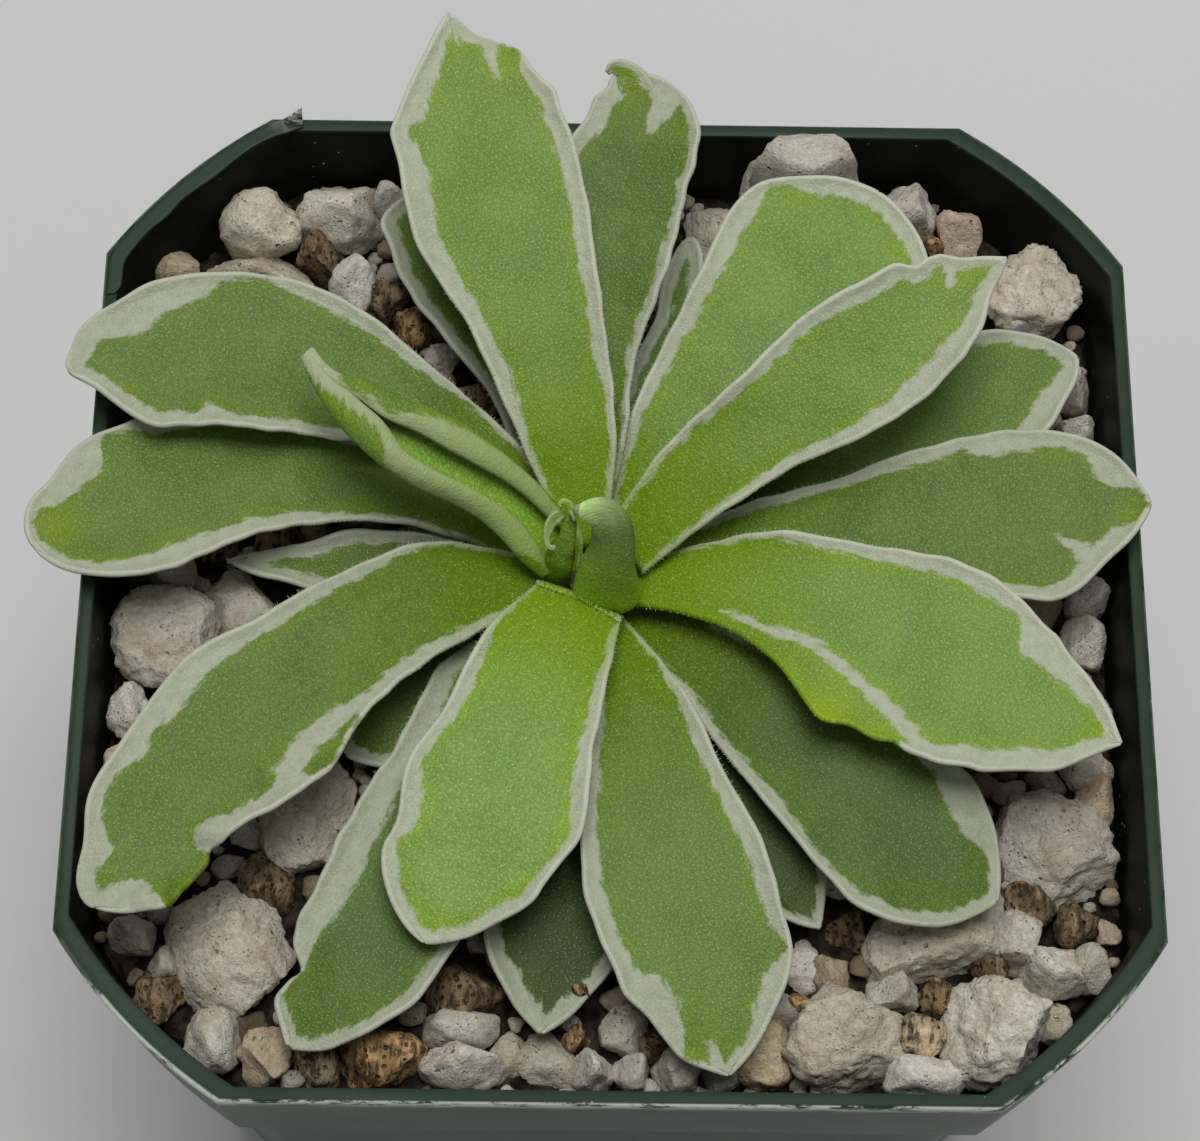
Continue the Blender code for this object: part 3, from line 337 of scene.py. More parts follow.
# Stones that show round the rosette: x, y, width, depth, height of the top over the rim, colour
STONES = (
    (-33.5, 28.3, 3.6, 4.2, -3.6, "tan"), (-27.2, 31.6, 6.2, 5.2, -2.2, "grey"),
    (-21.0, 32.8, 6.6, 6.0, -1.6, "grey"), (-27.3, 27.6, 8.0, 4.0, -4.2, "grey"),
    (-22.4, 29.2, 3.6, 3.4, -3.6, "brown"), (-20.0, 26.8, 3.6, 4.6, -3.8, "white"),
    (-17.4, 26.0, 3.6, 3.6, -5.0, "brown"), (-15.3, 23.8, 3.0, 3.0, -5.4, "orange"),
    (-13.0, 21.0, 2.6, 2.6, -5.6, "white"), (-24.4, 26.0, 3.6, 2.8, -4.4, "white"),
    (-17.3, 34.0, 2.6, 3.0, -2.4, "white"),
    (16.2, 34.0, 6.8, 5.6, 2.2, "white"), (11.4, 34.2, 3.4, 3.8, 0.4, "white"),
    (7.5, 32.4, 4.0, 5.4, -1.8, "grey"), (22.3, 33.2, 5.0, 4.6, -1.4, "white"),
    (26.4, 31.6, 3.4, 4.6, -2.4, "pink"), (24.4, 30.0, 1.8, 2.6, -3.0, "orange"),
    (31.6, 26.0, 7.6, 7.4, -1.6, "grey"), (30.9, 23.4, 3.8, 3.6, -2.6, "white"),
    (34.8, 18.6, 2.8, 3.0, -3.8, "white"), (34.9, 15.4, 2.8, 2.6, -4.2, "white"),
    (5.5, 25.4, 3.0, 3.4, -6.0, "brown"),
    (-32.4, -2.6, 7.4, 8.0, -3.2, "grey"), (-27.3, 0.8, 6.4, 6.0, -3.8, "grey"),
    (-32.4, 3.0, 3.6, 2.8, -4.4, "white"), (-34.6, -8.0, 3.4, 4.4, -4.0, "white"),
    (-34.9, -12.6, 2.6, 4.4, -4.0, "tan"), (-35.0, -16.0, 2.2, 2.6, -4.6, "pink"),
    (-21.6, -15.4, 6.6, 8.4, -4.4, "grey"), (-24.4, -20.4, 4.0, 4.4, -5.2, "brown"),
    (-26.6, -25.2, 8.8, 10.6, -1.8, "grey"), (-33.6, -24.4, 3.2, 2.6, -4.8, "white"),
    (-31.2, -26.6, 2.2, 2.8, -4.8, "white"), (-31.2, -29.0, 3.6, 4.2, -4.8, "brown"),
    (-27.4, -32.2, 3.8, 4.4, -3.6, "white"), (-23.8, -33.2, 3.6, 4.0, -3.6, "tan"),
    (-20.2, -33.8, 3.2, 3.2, -4.2, "mottled"), (-15.6, -33.4, 6.0, 4.0, -3.4, "orange"),
    (-10.2, -33.6, 5.6, 3.4, -3.8, "white"), (-10.4, -28.0, 6.0, 5.2, -5.4, "brown"),
    (-10.4, -30.8, 5.4, 3.0, -4.8, "white"), (-4.2, -33.0, 4.6, 4.4, -4.0, "grey"),
    (-7.2, -32.8, 2.8, 3.8, -4.6, "grey"), (-2.3, -31.4, 2.0, 2.0, -5.2, "orange"),
    (-1.2, -33.8, 3.0, 2.8, -4.4, "white"),
    (34.8, 1.6, 3.2, 2.6, -3.6, "white"), (34.4, -1.6, 3.4, 4.4, -4.4, "white"),
    (35.0, -7.0, 2.6, 4.0, -4.4, "white"), (34.2, -11.4, 4.0, 3.0, -4.4, "white"),
    (34.6, -14.0, 2.8, 4.2, -4.2, "tan"), (31.4, -17.4, 8.8, 8.4, -1.8, "grey"),
    (29.6, -21.8, 3.8, 3.2, -4.8, "brown"), (32.8, -23.0, 3.0, 3.2, -4.2, "brown"),
    (28.6, -24.2, 3.6, 3.8, -4.0, "white"), (31.2, -26.6, 4.6, 4.2, -3.4, "white"),
    (33.6, -26.4, 2.6, 3.6, -4.2, "white"), (26.6, -26.4, 2.8, 2.4, -4.6, "brown"),
    (22.4, -24.8, 9.2, 5.4, -4.4, "grey"), (17.0, -23.4, 3.4, 4.4, -5.4, "brown"),
    (19.8, -27.8, 3.8, 3.4, -5.2, "white"), (22.8, -28.6, 2.6, 2.8, -5.0, "brown"),
    (21.8, -31.4, 3.4, 3.4, -4.6, "mottled"), (26.8, -31.0, 7.6, 7.6, -1.8, "white"),
    (31.0, -30.4, 2.4, 3.4, -4.4, "grey"), (16.4, -31.2, 8.6, 7.8, -2.4, "grey"),
    (21.8, -34.2, 5.6, 2.8, -4.2, "white"), (13.8, -25.8, 3.2, 4.2, -5.4, "white"),
    (15.4, -26.6, 2.8, 2.8, -5.4, "tan"), (10.8, -32.6, 4.2, 4.6, -4.2, "tan"),
    (13.0, -29.2, 2.0, 2.0, -5.0, "orange"), (4.6, -33.8, 3.4, 3.2, -4.6, "white"),
    (1.0, -31.0, 3.4, 3.6, -5.0, "grey"), (1.4, -34.0, 2.6, 2.6, -4.6, "white"),
    (2.8, -32.0, 2.8, 2.4, -5.2, "brown"), (8.0, -33.6, 3.0, 3.2, -5.0, "white"),
)

TALL_STONE = (14.6, 34.4, POT_HEIGHT + 2.7, 8.2, 4.8, 12.4, "white")
# This stone lies higher than the CAD's, as the photograph shows it: x, y and the height of its top
RAISED_STONE = (-21.6, -15.4, POT_HEIGHT - 4.8)
LEAF_CRUMB = (-2.0, -28.7, POT_HEIGHT - 3.9, 1.1, 1.3, 1.1, "orange")


def tint(red, green, blue):
    """A linear colour from its screen values, 0 to 255."""
    shares = [value / 255.0 for value in (red, green, blue)]
    return tuple(s / 12.92 if s <= 0.04045 else ((s + 0.055) / 1.055) ** 2.4 for s in shares)


STONE_COLOURS = {
    "white": tint(240, 235, 226),
    "grey": tint(230, 223, 208),
    "tan": tint(220, 200, 170),
    "pink": tint(228, 206, 190),
    "brown": tint(116, 98, 76),
    "orange": tint(160, 128, 92),
    "mottled": tint(160, 144, 120),
}


# Meshes


def ease(value):
    value = np.clip(value, 0.0, 1.0)
    return value * value * (3.0 - 2.0 * value)


def bell(distance, spread):
    return np.exp(-((distance / spread) ** 2))


def unit(vectors):
    return vectors / np.maximum(np.linalg.norm(vectors, axis=-1, keepdims=True), 1e-9)


def turned(first, second, angle):
    """Two directions at right angles, both turned by an angle in radians."""
    return (
        first * np.cos(angle) + second * np.sin(angle),
        second * np.cos(angle) - first * np.sin(angle),
    )


def lay(centre, side, up, sideways, height):
    """Points beside and above a line, from the places across it."""
    return centre[:, None] + side[:, None] * sideways[:, :, None] + up[:, None] * height[:, :, None]


def normals_of(grid):
    return unit(np.cross(np.gradient(grid, axis=0), np.gradient(grid, axis=1)))


def from_crown(x, y):
    return math.hypot(x - CROWN_X, y - CROWN_Y)


def add_object(name, data):
    made = bpy.data.objects.new(name, data)
    bpy.context.scene.collection.objects.link(made)
    return made


def plain_mesh(name, points, faces):
    mesh = bpy.data.meshes.new(name)
    mesh.from_pydata((np.asarray(points) * MM).tolist(), [], faces)
    return mesh


def place(name, points, faces, finish, marks=None, replaces=()):
    """Makes a piece from points in millimetres, with one mark (attribute) per name in marks."""
    mesh = plain_mesh(name, points, faces)
    for mark, values in (marks or {}).items():
        values = np.asarray(values, dtype=np.float32)
        if values.ndim == 1:
            mesh.attributes.new(mark, "FLOAT", "POINT").data.foreach_set("value", values)
        else:
            mesh.attributes.new(mark, "FLOAT_VECTOR", "POINT").data.foreach_set("vector", values.ravel())
    mesh.materials.append(finish)
    mesh.shade_smooth()
    piece = add_object(name, mesh)
    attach(piece, "root")
    if replaces:
        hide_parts(*replaces)
    return piece


def sheet_solid(grid, half_thick):
    """A closed sheet round a middle surface whose two faces meet along the rim.

    Returns its points, its faces, and the grid place of each point with a sign for the face.
    """
    rows, columns, _ = grid.shape
    normal = normals_of(grid)
    inside = np.zeros((rows, columns), dtype=bool)
    inside[1:-1, 1:-1] = True
    thick = np.where(inside, half_thick, 0.0)[:, :, None]
    upper = np.arange(rows * columns).reshape(rows, columns)
    lower = upper.copy()
    lower[inside] = rows * columns + np.arange(inside.sum())
    points = np.concatenate(((grid + normal * thick).reshape(-1, 3), (grid - normal * thick)[inside]))
    faces = []
    for table, order in ((upper, (0, 1, 2, 3)), (lower, (0, 3, 2, 1))):
        corners = (table[:-1, :-1], table[1:, :-1], table[1:, 1:], table[:-1, 1:])
        faces += np.stack([corners[k].ravel() for k in order], axis=1).tolist()
    source = np.concatenate((upper.ravel(), upper[inside]))
    face_sign = np.concatenate((np.zeros(rows * columns), np.ones(inside.sum())))
    return points, faces, source, face_sign


def mark_points(marks, source=slice(None)):
    """The marks of a grid, one value for each point of the piece."""
    return {mark: values.reshape(-1, *values.shape[2:])[source] for mark, values in marks.items()}


# Leaves


def half_widths(along, base, given, point, least=0.4):
    """Smooth half widths along the blade, closing at the tip."""
    stations = np.array(WIDTH_STATIONS)
    widths = np.array((base, *given))
    slopes = np.gradient(widths, stations)
    slopes[0] = (widths[1] - widths[0]) / (stations[1] - stations[0])
    slopes[-1] = 0.0
    span = np.clip(np.searchsorted(stations, along, side="right") - 1, 0, len(stations) - 2)
    size = stations[span + 1] - stations[span]
    share = np.clip((along - stations[span]) / size, 0.0, 1.0)
    smooth = (
        (2 * share**3 - 3 * share**2 + 1) * widths[span]
        + (share**3 - 2 * share**2 + share) * size * slopes[span]
        + (3 * share**2 - 2 * share**3) * widths[span + 1]
        + (share**3 - share**2) * size * slopes[span + 1]
    )
    closing = np.clip((along - stations[-1]) / (1.0 - stations[-1]), 0.0, 1.0)
    return np.maximum(smooth * (1.0 - closing**point) ** (1.0 / point), least)


def spine(leaf, along):
    """Points of the midrib, with the sideways and upward directions at each."""
    fine = np.linspace(0.0, 1.0, 201)
    turning = np.radians(leaf.heading + leaf.bend * (fine - 0.35))
    angle = np.interp(along, fine, turning)
    step = leaf.length / (len(fine) - 1)
    path_x = np.concatenate(([0.0], np.cumsum(np.cos((turning[1:] + turning[:-1]) / 2)))) * step
    path_y = np.concatenate(([0.0], np.cumsum(np.sin((turning[1:] + turning[:-1]) / 2)))) * step
    x = CROWN_X + leaf.start * math.cos(turning[0]) + np.interp(along, fine, path_x)
    y = CROWN_Y + leaf.start * math.sin(turning[0]) + np.interp(along, fine, path_y)
    base = TOP_STOREY - STOREY_STEP * leaf.storey
    middle = POT_HEIGHT + leaf.middle
    tip = POT_HEIGHT + leaf.tip
    z = base * (1 - along) * (1 - 2 * along) + middle * 4 * along * (1 - along)
    z += tip * along * (2 * along - 1)
    rise = (4 * along - 3) * base + (4 - 8 * along) * middle + (4 * along - 1) * tip
    forward = unit(np.stack((np.cos(angle) * leaf.length, np.sin(angle) * leaf.length, rise), axis=1))
    side = np.stack((-np.sin(angle), np.cos(angle), np.zeros(len(along))), axis=1)
    up = np.cross(forward, side)
    roll = np.radians(leaf.roll) * ease(along / 0.45)[:, None]
    side, up = turned(side, up, roll)
    return np.stack((x, y, z), axis=1), side, up


def margin_height(leaf, along, share, sideways):
    """How high the blade stands over its midrib: lifted and waved towards the margins."""
    grown = ease(along / 0.25)[:, None]
    lift = leaf.lift * (sideways / max(*leaf.left, *leaf.right)) ** 2
    phase = leaf.heading / 57.0 + 0.37 * (share > 0)
    wave = leaf.wave * np.abs(share) ** 3 * np.sin(2 * math.pi * (along[:, None] * 3.1 + phase))
    return grown * (lift + wave)


def leaf_along(rows):
    return np.sin(np.linspace(0.0, math.pi / 2.0, rows)) ** 1.1


def leaf_grid(leaf, rows, columns):
    """The CAD's middle surface of a blade."""
    along = leaf_along(rows)
    centre, side, up = spine(leaf, along)
    across = np.linspace(-1.0, 1.0, columns)
    across = np.sign(across) * np.abs(across) ** 0.85
    left = half_widths(along, leaf.base, leaf.left, leaf.point)[:, None]
    right = half_widths(along, leaf.base, leaf.right, leaf.point)[:, None]
    sideways = np.where(across > 0, across * left, across * right)
    height = margin_height(leaf, along, np.broadcast_to(across, sideways.shape), sideways)
    return lay(centre, side, up, sideways, height)


def ripple(values, draw, waves, amount):
    """A smooth seeded unevenness along a line."""
    total = np.zeros_like(values)
    for _ in range(waves):
        total += np.sin(values * draw.uniform(0.6, 3.4) * 2.0 + draw.uniform(0.0, 6.3))
    return total * amount / waves


def spread_columns(left, right, columns):
    """Across places in millimetres, closer together towards both edges."""
    half = columns // 2
    steps = np.linspace(0.0, 1.0, half - 2) ** 0.8
    rows = []
    for width_left, width_right in zip(left, right):
        sides = []
        for width in (width_left, width_right):
            edge = min(0.45, 0.5 * width)
            inner = steps * (width - edge)
            sides.append(np.concatenate((inner, width - edge * np.array((0.55, 0.2, 0.0)))))
        rows.append(np.concatenate((-sides[1][::-1], sides[0][1:])))
    return np.array(rows)


def outline_distance(flat, edge):
    """Distance of each flat point to a polyline, and the nearest vertex of that polyline."""
    start, end = edge[:-1], edge[1:]
    step = end - start
    size = np.maximum((step**2).sum(axis=1), 1e-12)
    offset = flat[:, None] - start[None]
    share = np.clip((offset * step[None]).sum(axis=2) / size, 0.0, 1.0)
    gap = offset - step[None] * share[:, :, None]
    distance = np.sqrt((gap**2).sum(axis=2))
    nearest = distance.argmin(axis=1)
    return distance[np.arange(len(flat)), nearest], nearest + share[np.arange(len(flat)), nearest]


def streak_distance(flat, start, end, half_start, half_end):
    """Distance outside a tapering streak; negative inside it."""
    step = end - start
    share = np.clip(((flat - start) * step).sum(axis=1) / (step**2).sum(), 0.0, 1.0)
    gap = flat - start - step * share[:, None]
    return np.sqrt((gap**2).sum(axis=1)) - (half_start + (half_end - half_start) * share)


def dressed_leaf(leaf, look, number):
    """The fine blade: its middle surface, half thickness and marks, all on one grid."""
    draw = random.Random(LEAF_SEED + number)
    rows, columns = FINE_GRID if look.fine else HIDDEN_GRID
    along = leaf_along(rows)
    left = half_widths(along, leaf.base, leaf.left, leaf.point, 0.1)
    right = half_widths(along, leaf.base, leaf.right, leaf.point, 0.1)
    for side, centre, amount, spread in look.bumps:
        bump = amount * bell(along - centre, spread)
        if side > 0:
            left = np.maximum(left + bump, 0.1)
        else:
            right = np.maximum(right + bump, 0.1)
    free = ease(along / 0.2) * ease((1.0 - along) / 0.02)
    left = left + free * ripple(along * leaf.length / 3.0, draw, 5, OUTLINE_RIPPLE)
    right = right + free * ripple(along * leaf.length / 3.0, draw, 5, OUTLINE_RIPPLE)
    sideways = spread_columns(left, right, columns)
    share = np.where(sideways > 0, sideways / left[:, None], sideways / right[:, None])
    skew = look.skew * np.clip((along - SKEW_FROM) / (1.0 - SKEW_FROM), 0.0, 1.0) ** 2
    sideways, left, right = sideways + skew[:, None], left + skew, right - skew
    flat = np.stack((np.repeat(along * leaf.length, sideways.shape[1]), sideways.ravel()), axis=1)

    # The outline runs up the left edge and down the right one
    up_left = np.stack((along * leaf.length, left), axis=1)
    down_right = np.stack((along * leaf.length, -right), axis=1)[::-1]
    edge = np.concatenate((up_left, down_right))
    distance, nearest = outline_distance(flat, edge)
    white = np.concatenate((
        np.interp(along, *np.array(look.left).T),
        np.interp(along, *np.array(look.right).T)[::-1],
    ))
    green = distance - np.interp(nearest, np.arange(len(white)), white)
    for a0, s0, a1, s1, w0, w1 in look.streaks:
        start = np.array((a0 * leaf.length, s0))
        end = np.array((a1 * leaf.length, s1))
        green = np.minimum(green, streak_distance(flat, start, end, w0, w1))
    distance = distance.reshape(sideways.shape)
    green = green.reshape(sideways.shape)

    def distance_to(share_at, across_at):
        return np.hypot(along[:, None] * leaf.length - share_at * leaf.length, sideways - across_at)

    def by_row(values):
        return np.broadcast_to(values[:, None], sideways.shape)

    # Height over the midrib, with a curled edge and a soft unevenness
    height = margin_height(leaf, along, share, sideways)
    grown = ease(along / 0.25)[:, None]
    height = height + grown * CURL_HEIGHT * (1.0 - np.clip(distance / CURL_WIDTH, 0.0, 1.0)) ** 2
    uneven = np.zeros_like(height)
    for _ in range(6):
        turn = draw.uniform(0.0, 6.3)
        pace = draw.uniform(0.35, 1.1)
        u = flat[:, 0].reshape(height.shape) * math.cos(turn) + sideways * math.sin(turn)
        uneven += np.sin(u * pace + draw.uniform(0.0, 6.3))
    height = height + grown * uneven * BLADE_UNEVEN / 2.0
    for share_at, across_at, rise, spread in look.lifts:
        height = height + rise * bell(distance_to(share_at, across_at), spread)
    centre, side, up = spine(leaf, along * look.reach)
    grid = lay(centre, side, up, sideways, height)
    drawn = look.spike * ease((along - 0.9) / 0.1)[:, None] * bell(sideways - skew[:, None], 1.3)
    grid += np.cross(side, up)[:, None] * drawn[:, :, None]
    glow = np.zeros_like(height)
    for share_at, across_at, spread, strength in look.glows:
        glow = np.maximum(glow, strength * bell(distance_to(share_at, across_at), spread))

    # Thick in the middle, thin at the margin, rounded at the rim and closed at the base
    base_gap = np.repeat(along * leaf.length, sideways.shape[1]).reshape(height.shape)
    rim = np.minimum(distance, base_gap + 1e-6)
    half = (EDGE_THICK + (LEAF_THICK - EDGE_THICK) * ease(rim / 3.0)) / 2.0
    half = half * np.sqrt(1.0 - (1.0 - np.clip(rim / EDGE_ROUND, 0.0, 1.0)) ** 2)
    marks = {
        "green": green,
        "edge": distance,
        "along": by_row(along),
        # The tone: the leaf's own tone with painted shade, and less of that painted shade towards the base;
        # the frost follows it.
        "tone": look.tone + by_row(0.45 * (1.0 - look.tone) * (1.0 - ease(along / 0.35))),
        "veil": by_row(0.6 * (1.0 - ease(along / 0.32))),
        "glow": glow,
        "frost": 0.14 * look.tone * ease(distance / 3.2) * ease(along / 0.4)[:, None],
        "flat": np.stack((sideways, base_gap, np.full(height.shape, 7.3 * number)), axis=2),
    }
    return grid, half, marks


def add_leaf(leaf, look, number, finish):
    grid, half, marks = dressed_leaf(leaf, look, number)
    points, faces, source, under = sheet_solid(grid, half)
    marks = mark_points(marks, source)
    marks["under"] = under
    place(f"{leaf.name}_blade", points, faces, finish, marks, (leaf.name,))


# The young leaves in the middle


def curve_through(points, count):
    """Evenly stepped places on a smooth curve through the given rows of numbers."""
    points = np.asarray(points, dtype=float)
    padded = np.concatenate((2 * points[:1] - points[1:2], points, 2 * points[-1:] - points[-2:-1]))
    steps = np.linspace(0.0, len(points) - 1.0, count)
    first = np.minimum(steps.astype(int), len(points) - 2)
    share = (steps - first).reshape((-1,) + (1,) * (points.ndim - 1))
    a, b, c, d = (padded[first + k] for k in range(4))
    return 0.5 * (
        2 * b + (c - a) * share + (2 * a - 5 * b + 4 * c - d) * share**2
        + (3 * b - a - 3 * c + d) * share**3
    )


def length_along(grid, axis):
    """Length from the first point of each line of the grid, along one of its axes."""
    step = np.linalg.norm(np.diff(grid, axis=axis), axis=2)
    start = np.zeros_like(np.take(step, [0], axis=axis))
    return np.concatenate((start, np.cumsum(step, axis=axis)), axis=axis)


def add_sheet(name, grid, thick, white, finish, replaces, tone=1.0, base_share=(0.0, 1.0), seed=50.0,
              veil=(0.8, 0.8), glow=0.0):
    """A thin blade from its middle surface; white is the margin's width at each row's two ends.

    Veil is how green that white is, at the base and at the tip.
    """
    from_left = length_along(grid, 1)
    from_right = from_left[:, -1:] - from_left
    up = length_along(grid, 0)
    down = up[-1:] - up
    distance = np.minimum(np.minimum(from_left, from_right), down)
    white = np.broadcast_to(np.asarray(white, dtype=float), (len(grid), 2))
    green = np.minimum(from_left - white[:, :1], from_right - white[:, 1:])
    green = np.minimum(green, down - white.mean(axis=1)[-1])
    rim = np.minimum(distance, up + 1e-6)
    half = thick / 2.0 * np.sqrt(1.0 - (1.0 - np.clip(rim / (0.7 * thick), 0.0, 1.0)) ** 2)
    points, faces, source, under = sheet_solid(grid, half)
    rows = np.linspace(*base_share, len(grid))[:, None]
    marks = {
        "green": green,
        "edge": distance,
        "along": np.broadcast_to(rows, green.shape),
        "tone": np.full(green.shape, tone),
        "veil": np.broadcast_to(np.linspace(*veil, len(grid))[:, None], green.shape),
        "glow": np.full(green.shape, glow),
        "frost": np.zeros(green.shape),
        "flat": np.stack((from_left, up, np.full(green.shape, seed)), axis=2),
    }
    marks = mark_points(marks, source)
    marks["under"] = 0.0 * under
    place(name, points, faces, finish, marks, replaces)


# The folded leaf: share of the length, then the places across of its left flank, left free edge,
# right free edge and right flank, the depth of its trough and the widths of its white margins
YOUNG = (
    (0.0, 2.3, 1.5, -1.2, -1.9, 0.9, 0.6, 0.6),
    (0.08, 2.4, 1.1, -1.0, -2.2, 1.2, 1.1, 0.9),
    (0.16, 2.1, 0.7, -1.1, -2.4, 1.4, 1.9, 1.3),
    (0.25, 2.0, 0.8, -1.0, -2.4, 1.6, 2.2, 1.6),
    (0.35, 2.4, 1.3, -0.5, -2.4, 1.8, 2.2, 1.8),
    (0.45, 3.1, 1.9, 0.0, -2.2, 1.9, 2.1, 1.8),
    (0.55, 3.5, 2.1, 0.4, -1.6, 1.9, 1.7, 1.4),
    (0.65, 3.4, 1.3, 1.05, -0.9, 1.8, 0.9, 0.6),
    (0.73, 3.1, 1.1, 1.05, -0.5, 1.6, 1.0, 0.5),
    (0.79, 2.7, 0.95, 1.05, -0.3, 1.4, 1.0, 0.2),
    (0.83, 2.3, 0.9, 1.05, 0.2, 1.0, 1.0, 0.5),
    (0.88, 1.8, 0.65, 0.85, 0.35, 0.7, 1.0, 0.9),
    (0.94, 1.1, 0.25, 0.45, 0.1, 0.45, 1.0, 1.0),
    (0.985, 0.4, -0.2, 0.0, -0.3, 0.2, 1.2, 1.2),
)


def add_young_leaf(finish):
    """The folded leaf, a trough whose two margins roll inwards and meet before the tip."""
    leaf = next(one for one in LEAVES if one.name == "young_leaf")
    stations = np.array(YOUNG)
    sections = []
    for _, out_left, in_left, in_right, out_right, deep, _, _ in stations:
        middle = (out_left + out_right) / 2.0
        roll_left, roll_right = out_left - in_left, out_right - in_right
        sections.append((
            (in_left, 0.9 * deep), (in_left + 0.4 * roll_left, 1.08 * deep),
            (in_left + 0.85 * roll_left, 0.92 * deep), (out_left, 0.55 * deep),
            (out_left + 0.3 * (middle - out_left), 0.12 * deep), (middle, 0.0),
            (out_right + 0.3 * (middle - out_right), 0.12 * deep), (out_right, 0.55 * deep),
            (in_right + 0.85 * roll_right, 0.92 * deep), (in_right + 0.4 * roll_right, 1.08 * deep),
            (in_right, 0.9 * deep),
        ))
    rows, columns = 96, 61
    fine = curve_through(stations, rows)
    sections = curve_through(np.array(sections), rows)
    sections = np.swapaxes(curve_through(np.swapaxes(sections, 0, 1), columns), 0, 1)
    centre, side, up = spine(leaf, fine[:, 0])
    grid = lay(centre, side, up, sections[:, :, 0], sections[:, :, 1])

    # Columns run from the right to the left, so that the upper side faces up; the trough's inside is
    # painted lighter, painted light where it lies in shade
    tone = 0.8 + 0.8 * bell(np.linspace(-1.0, 1.0, columns), 0.4)[None]
    add_sheet("young_leaf_fold", grid[:, ::-1], 0.5, fine[:, 7:5:-1], finish, ("young_leaf",), tone,
              (0.25, 1.0), veil=(0.95, 0.15))


def path_frame(stations, rows, up):
    """A smooth path over the rim: its stations, points, and the directions beside and before it."""
    fine = curve_through(stations, rows)
    centre = fine[:, :3] + np.array((0.0, 0.0, POT_HEIGHT))
    ahead = unit(np.gradient(centre, axis=0))
    side = unit(np.cross(ahead, np.array(up)))
    return fine, centre, side, np.cross(side, ahead)


def add_loft(name, stations, finish, tone, base_share, sides=48, rows=80, crease=0.0, veil=(0.8, 0.2)):
    """A closed body round a curved axis, in place of the CAD's centre curl.

    A station is x, y, height over the rim, half width, half depth, how green it is and its frost.
    """
    fine, centre, side, front = path_frame(stations, rows, (0.0, -0.6, 0.8))
    steps = np.arange(rows)
    share = np.linspace(0.0, 1.0, rows)
    tone = np.interp(share, np.linspace(0.0, 1.0, len(tone)), tone)[:, None]
    turn = np.linspace(0.0, 2.0 * math.pi, sides, endpoint=False)
    from_end = np.clip(np.minimum(steps, rows - 1 - steps) / 7.0, 0, 1)
    cap = np.maximum(np.sqrt(1.0 - (1.0 - from_end) ** 2), 0.02)[:, None]
    groove = 1.0 - crease * bell(turn - 1.0, 0.16)[None] * ease(np.linspace(0, 3, rows))[:, None]
    round_side = np.cos(turn)[None] * fine[:, 3:4] * cap * groove
    round_front = np.sin(turn)[None] * fine[:, 4:5] * cap * groove
    grid = lay(centre, side, front, round_side, round_front)
    up = length_along(grid, 0)

    def by_row(values):
        return np.broadcast_to(values, up.shape)

    marks = {
        "green": by_row(fine[:, 5:6]),
        "edge": np.full(up.shape, 3.0),
        "along": by_row(np.linspace(*base_share, rows)[:, None]),
        "tone": by_row(tone),
        "veil": by_row(np.linspace(*veil, rows)[:, None]),
        "glow": np.zeros(up.shape),
        "frost": np.clip(fine[:, 6:7] * (0.6 + 0.4 * np.cos(turn)[None] ** 2), 0.0, 1.0),
        "flat": np.stack((turn[None] * fine[:, 3:4], up, np.full(up.shape, 60.0)), axis=2),
        "under": np.zeros(up.shape),
    }
    place(name, grid.reshape(-1, 3), rings_faces(rows, sides), finish, mark_points(marks),
          ("centre_curl",))


def ribbon_grid(stations, rows, columns, cup=0.0):
    """A strip along a path; a station is x, y, height over the rim, half width and its turn."""
    fine, centre, side, face = path_frame(stations, rows, (0.0, -0.45, 0.9))
    side, face = turned(side, face, np.radians(fine[:, 4])[:, None])
    across = np.linspace(1.0, -1.0, columns)[None] * fine[:, 3:4]
    height = cup * (across / np.maximum(fine[:, 3].max(), 1e-6)) ** 2
    return lay(centre, side, face, across, height)


THUMB = (
    (-0.4, -1.1, -3.0, 2.2, 0.9, 2.5, 0.0), (-0.44, -0.8, -1.2, 2.4, 1.0, 2.5, 0.0),
    (-0.5, -0.35, 0.5, 2.3, 1.2, 2.5, 0.0), (-0.43, 0.2, 2.1, 2.0, 1.35, 2.5, 0.0),
    (-0.2, 0.9, 3.2, 1.7, 1.4, 2.5, 0.12), (-0.12, 1.6, 4.0, 1.55, 1.35, 2.5, 0.3),
    (-0.27, 2.3, 4.6, 1.45, 1.2, 2.5, 0.55), (-0.7, 2.9, 5.0, 1.25, 1.05, 2.5, 0.8),
    (-1.4, 3.05, 5.1, 1.1, 0.9, 2.2, 0.95), (-2.0, 3.2, 4.95, 0.8, 0.65, 1.2, 1.0),
    (-2.6, 3.4, 4.7, 0.42, 0.35, -1.2, 1.0), (-3.0, 3.6, 4.4, 0.15, 0.12, -2.5, 1.0),
)
TOOTH = (
    (-3.17, 3.46, 4.5, 0.1, 0.08, -1.0, 0.0), (-2.95, 3.17, 4.3, 0.16, 0.1, -1.0, 0.0),
    (-2.84, 2.8, 4.05, 0.08, 0.06, -1.0, 0.0),
)
INNER_BLADE = (
    (-4.15, 0.6, -3.6, 1.1, 0), (-4.1, 0.8, -1.2, 1.1, 0), (-3.9, 1.0, 0.5, 1.02, 0),
    (-3.8, 1.5, 1.3, 1.0, 0), (-3.3, 2.2, 2.3, 0.7, 0), (-3.2, 3.05, 3.15, 0.58, 0),
    (-3.25, 3.5, 3.7, 0.22, 0),
)
INNER_CURL = (
    (-3.6, 3.5, 3.8, 0.3, 10), (-4.1, 3.3, 3.8, 0.45, 15), (-4.5, 2.9, 3.6, 0.42, 20),
    (-4.72, 2.4, 3.35, 0.34, 20), (-4.8, 1.9, 3.05, 0.24, 20), (-4.68, 1.5, 2.8, 0.2, 10),
    (-4.42, 1.35, 2.7, 0.2, 0), (-4.15, 1.48, 2.7, 0.14, 0),
)
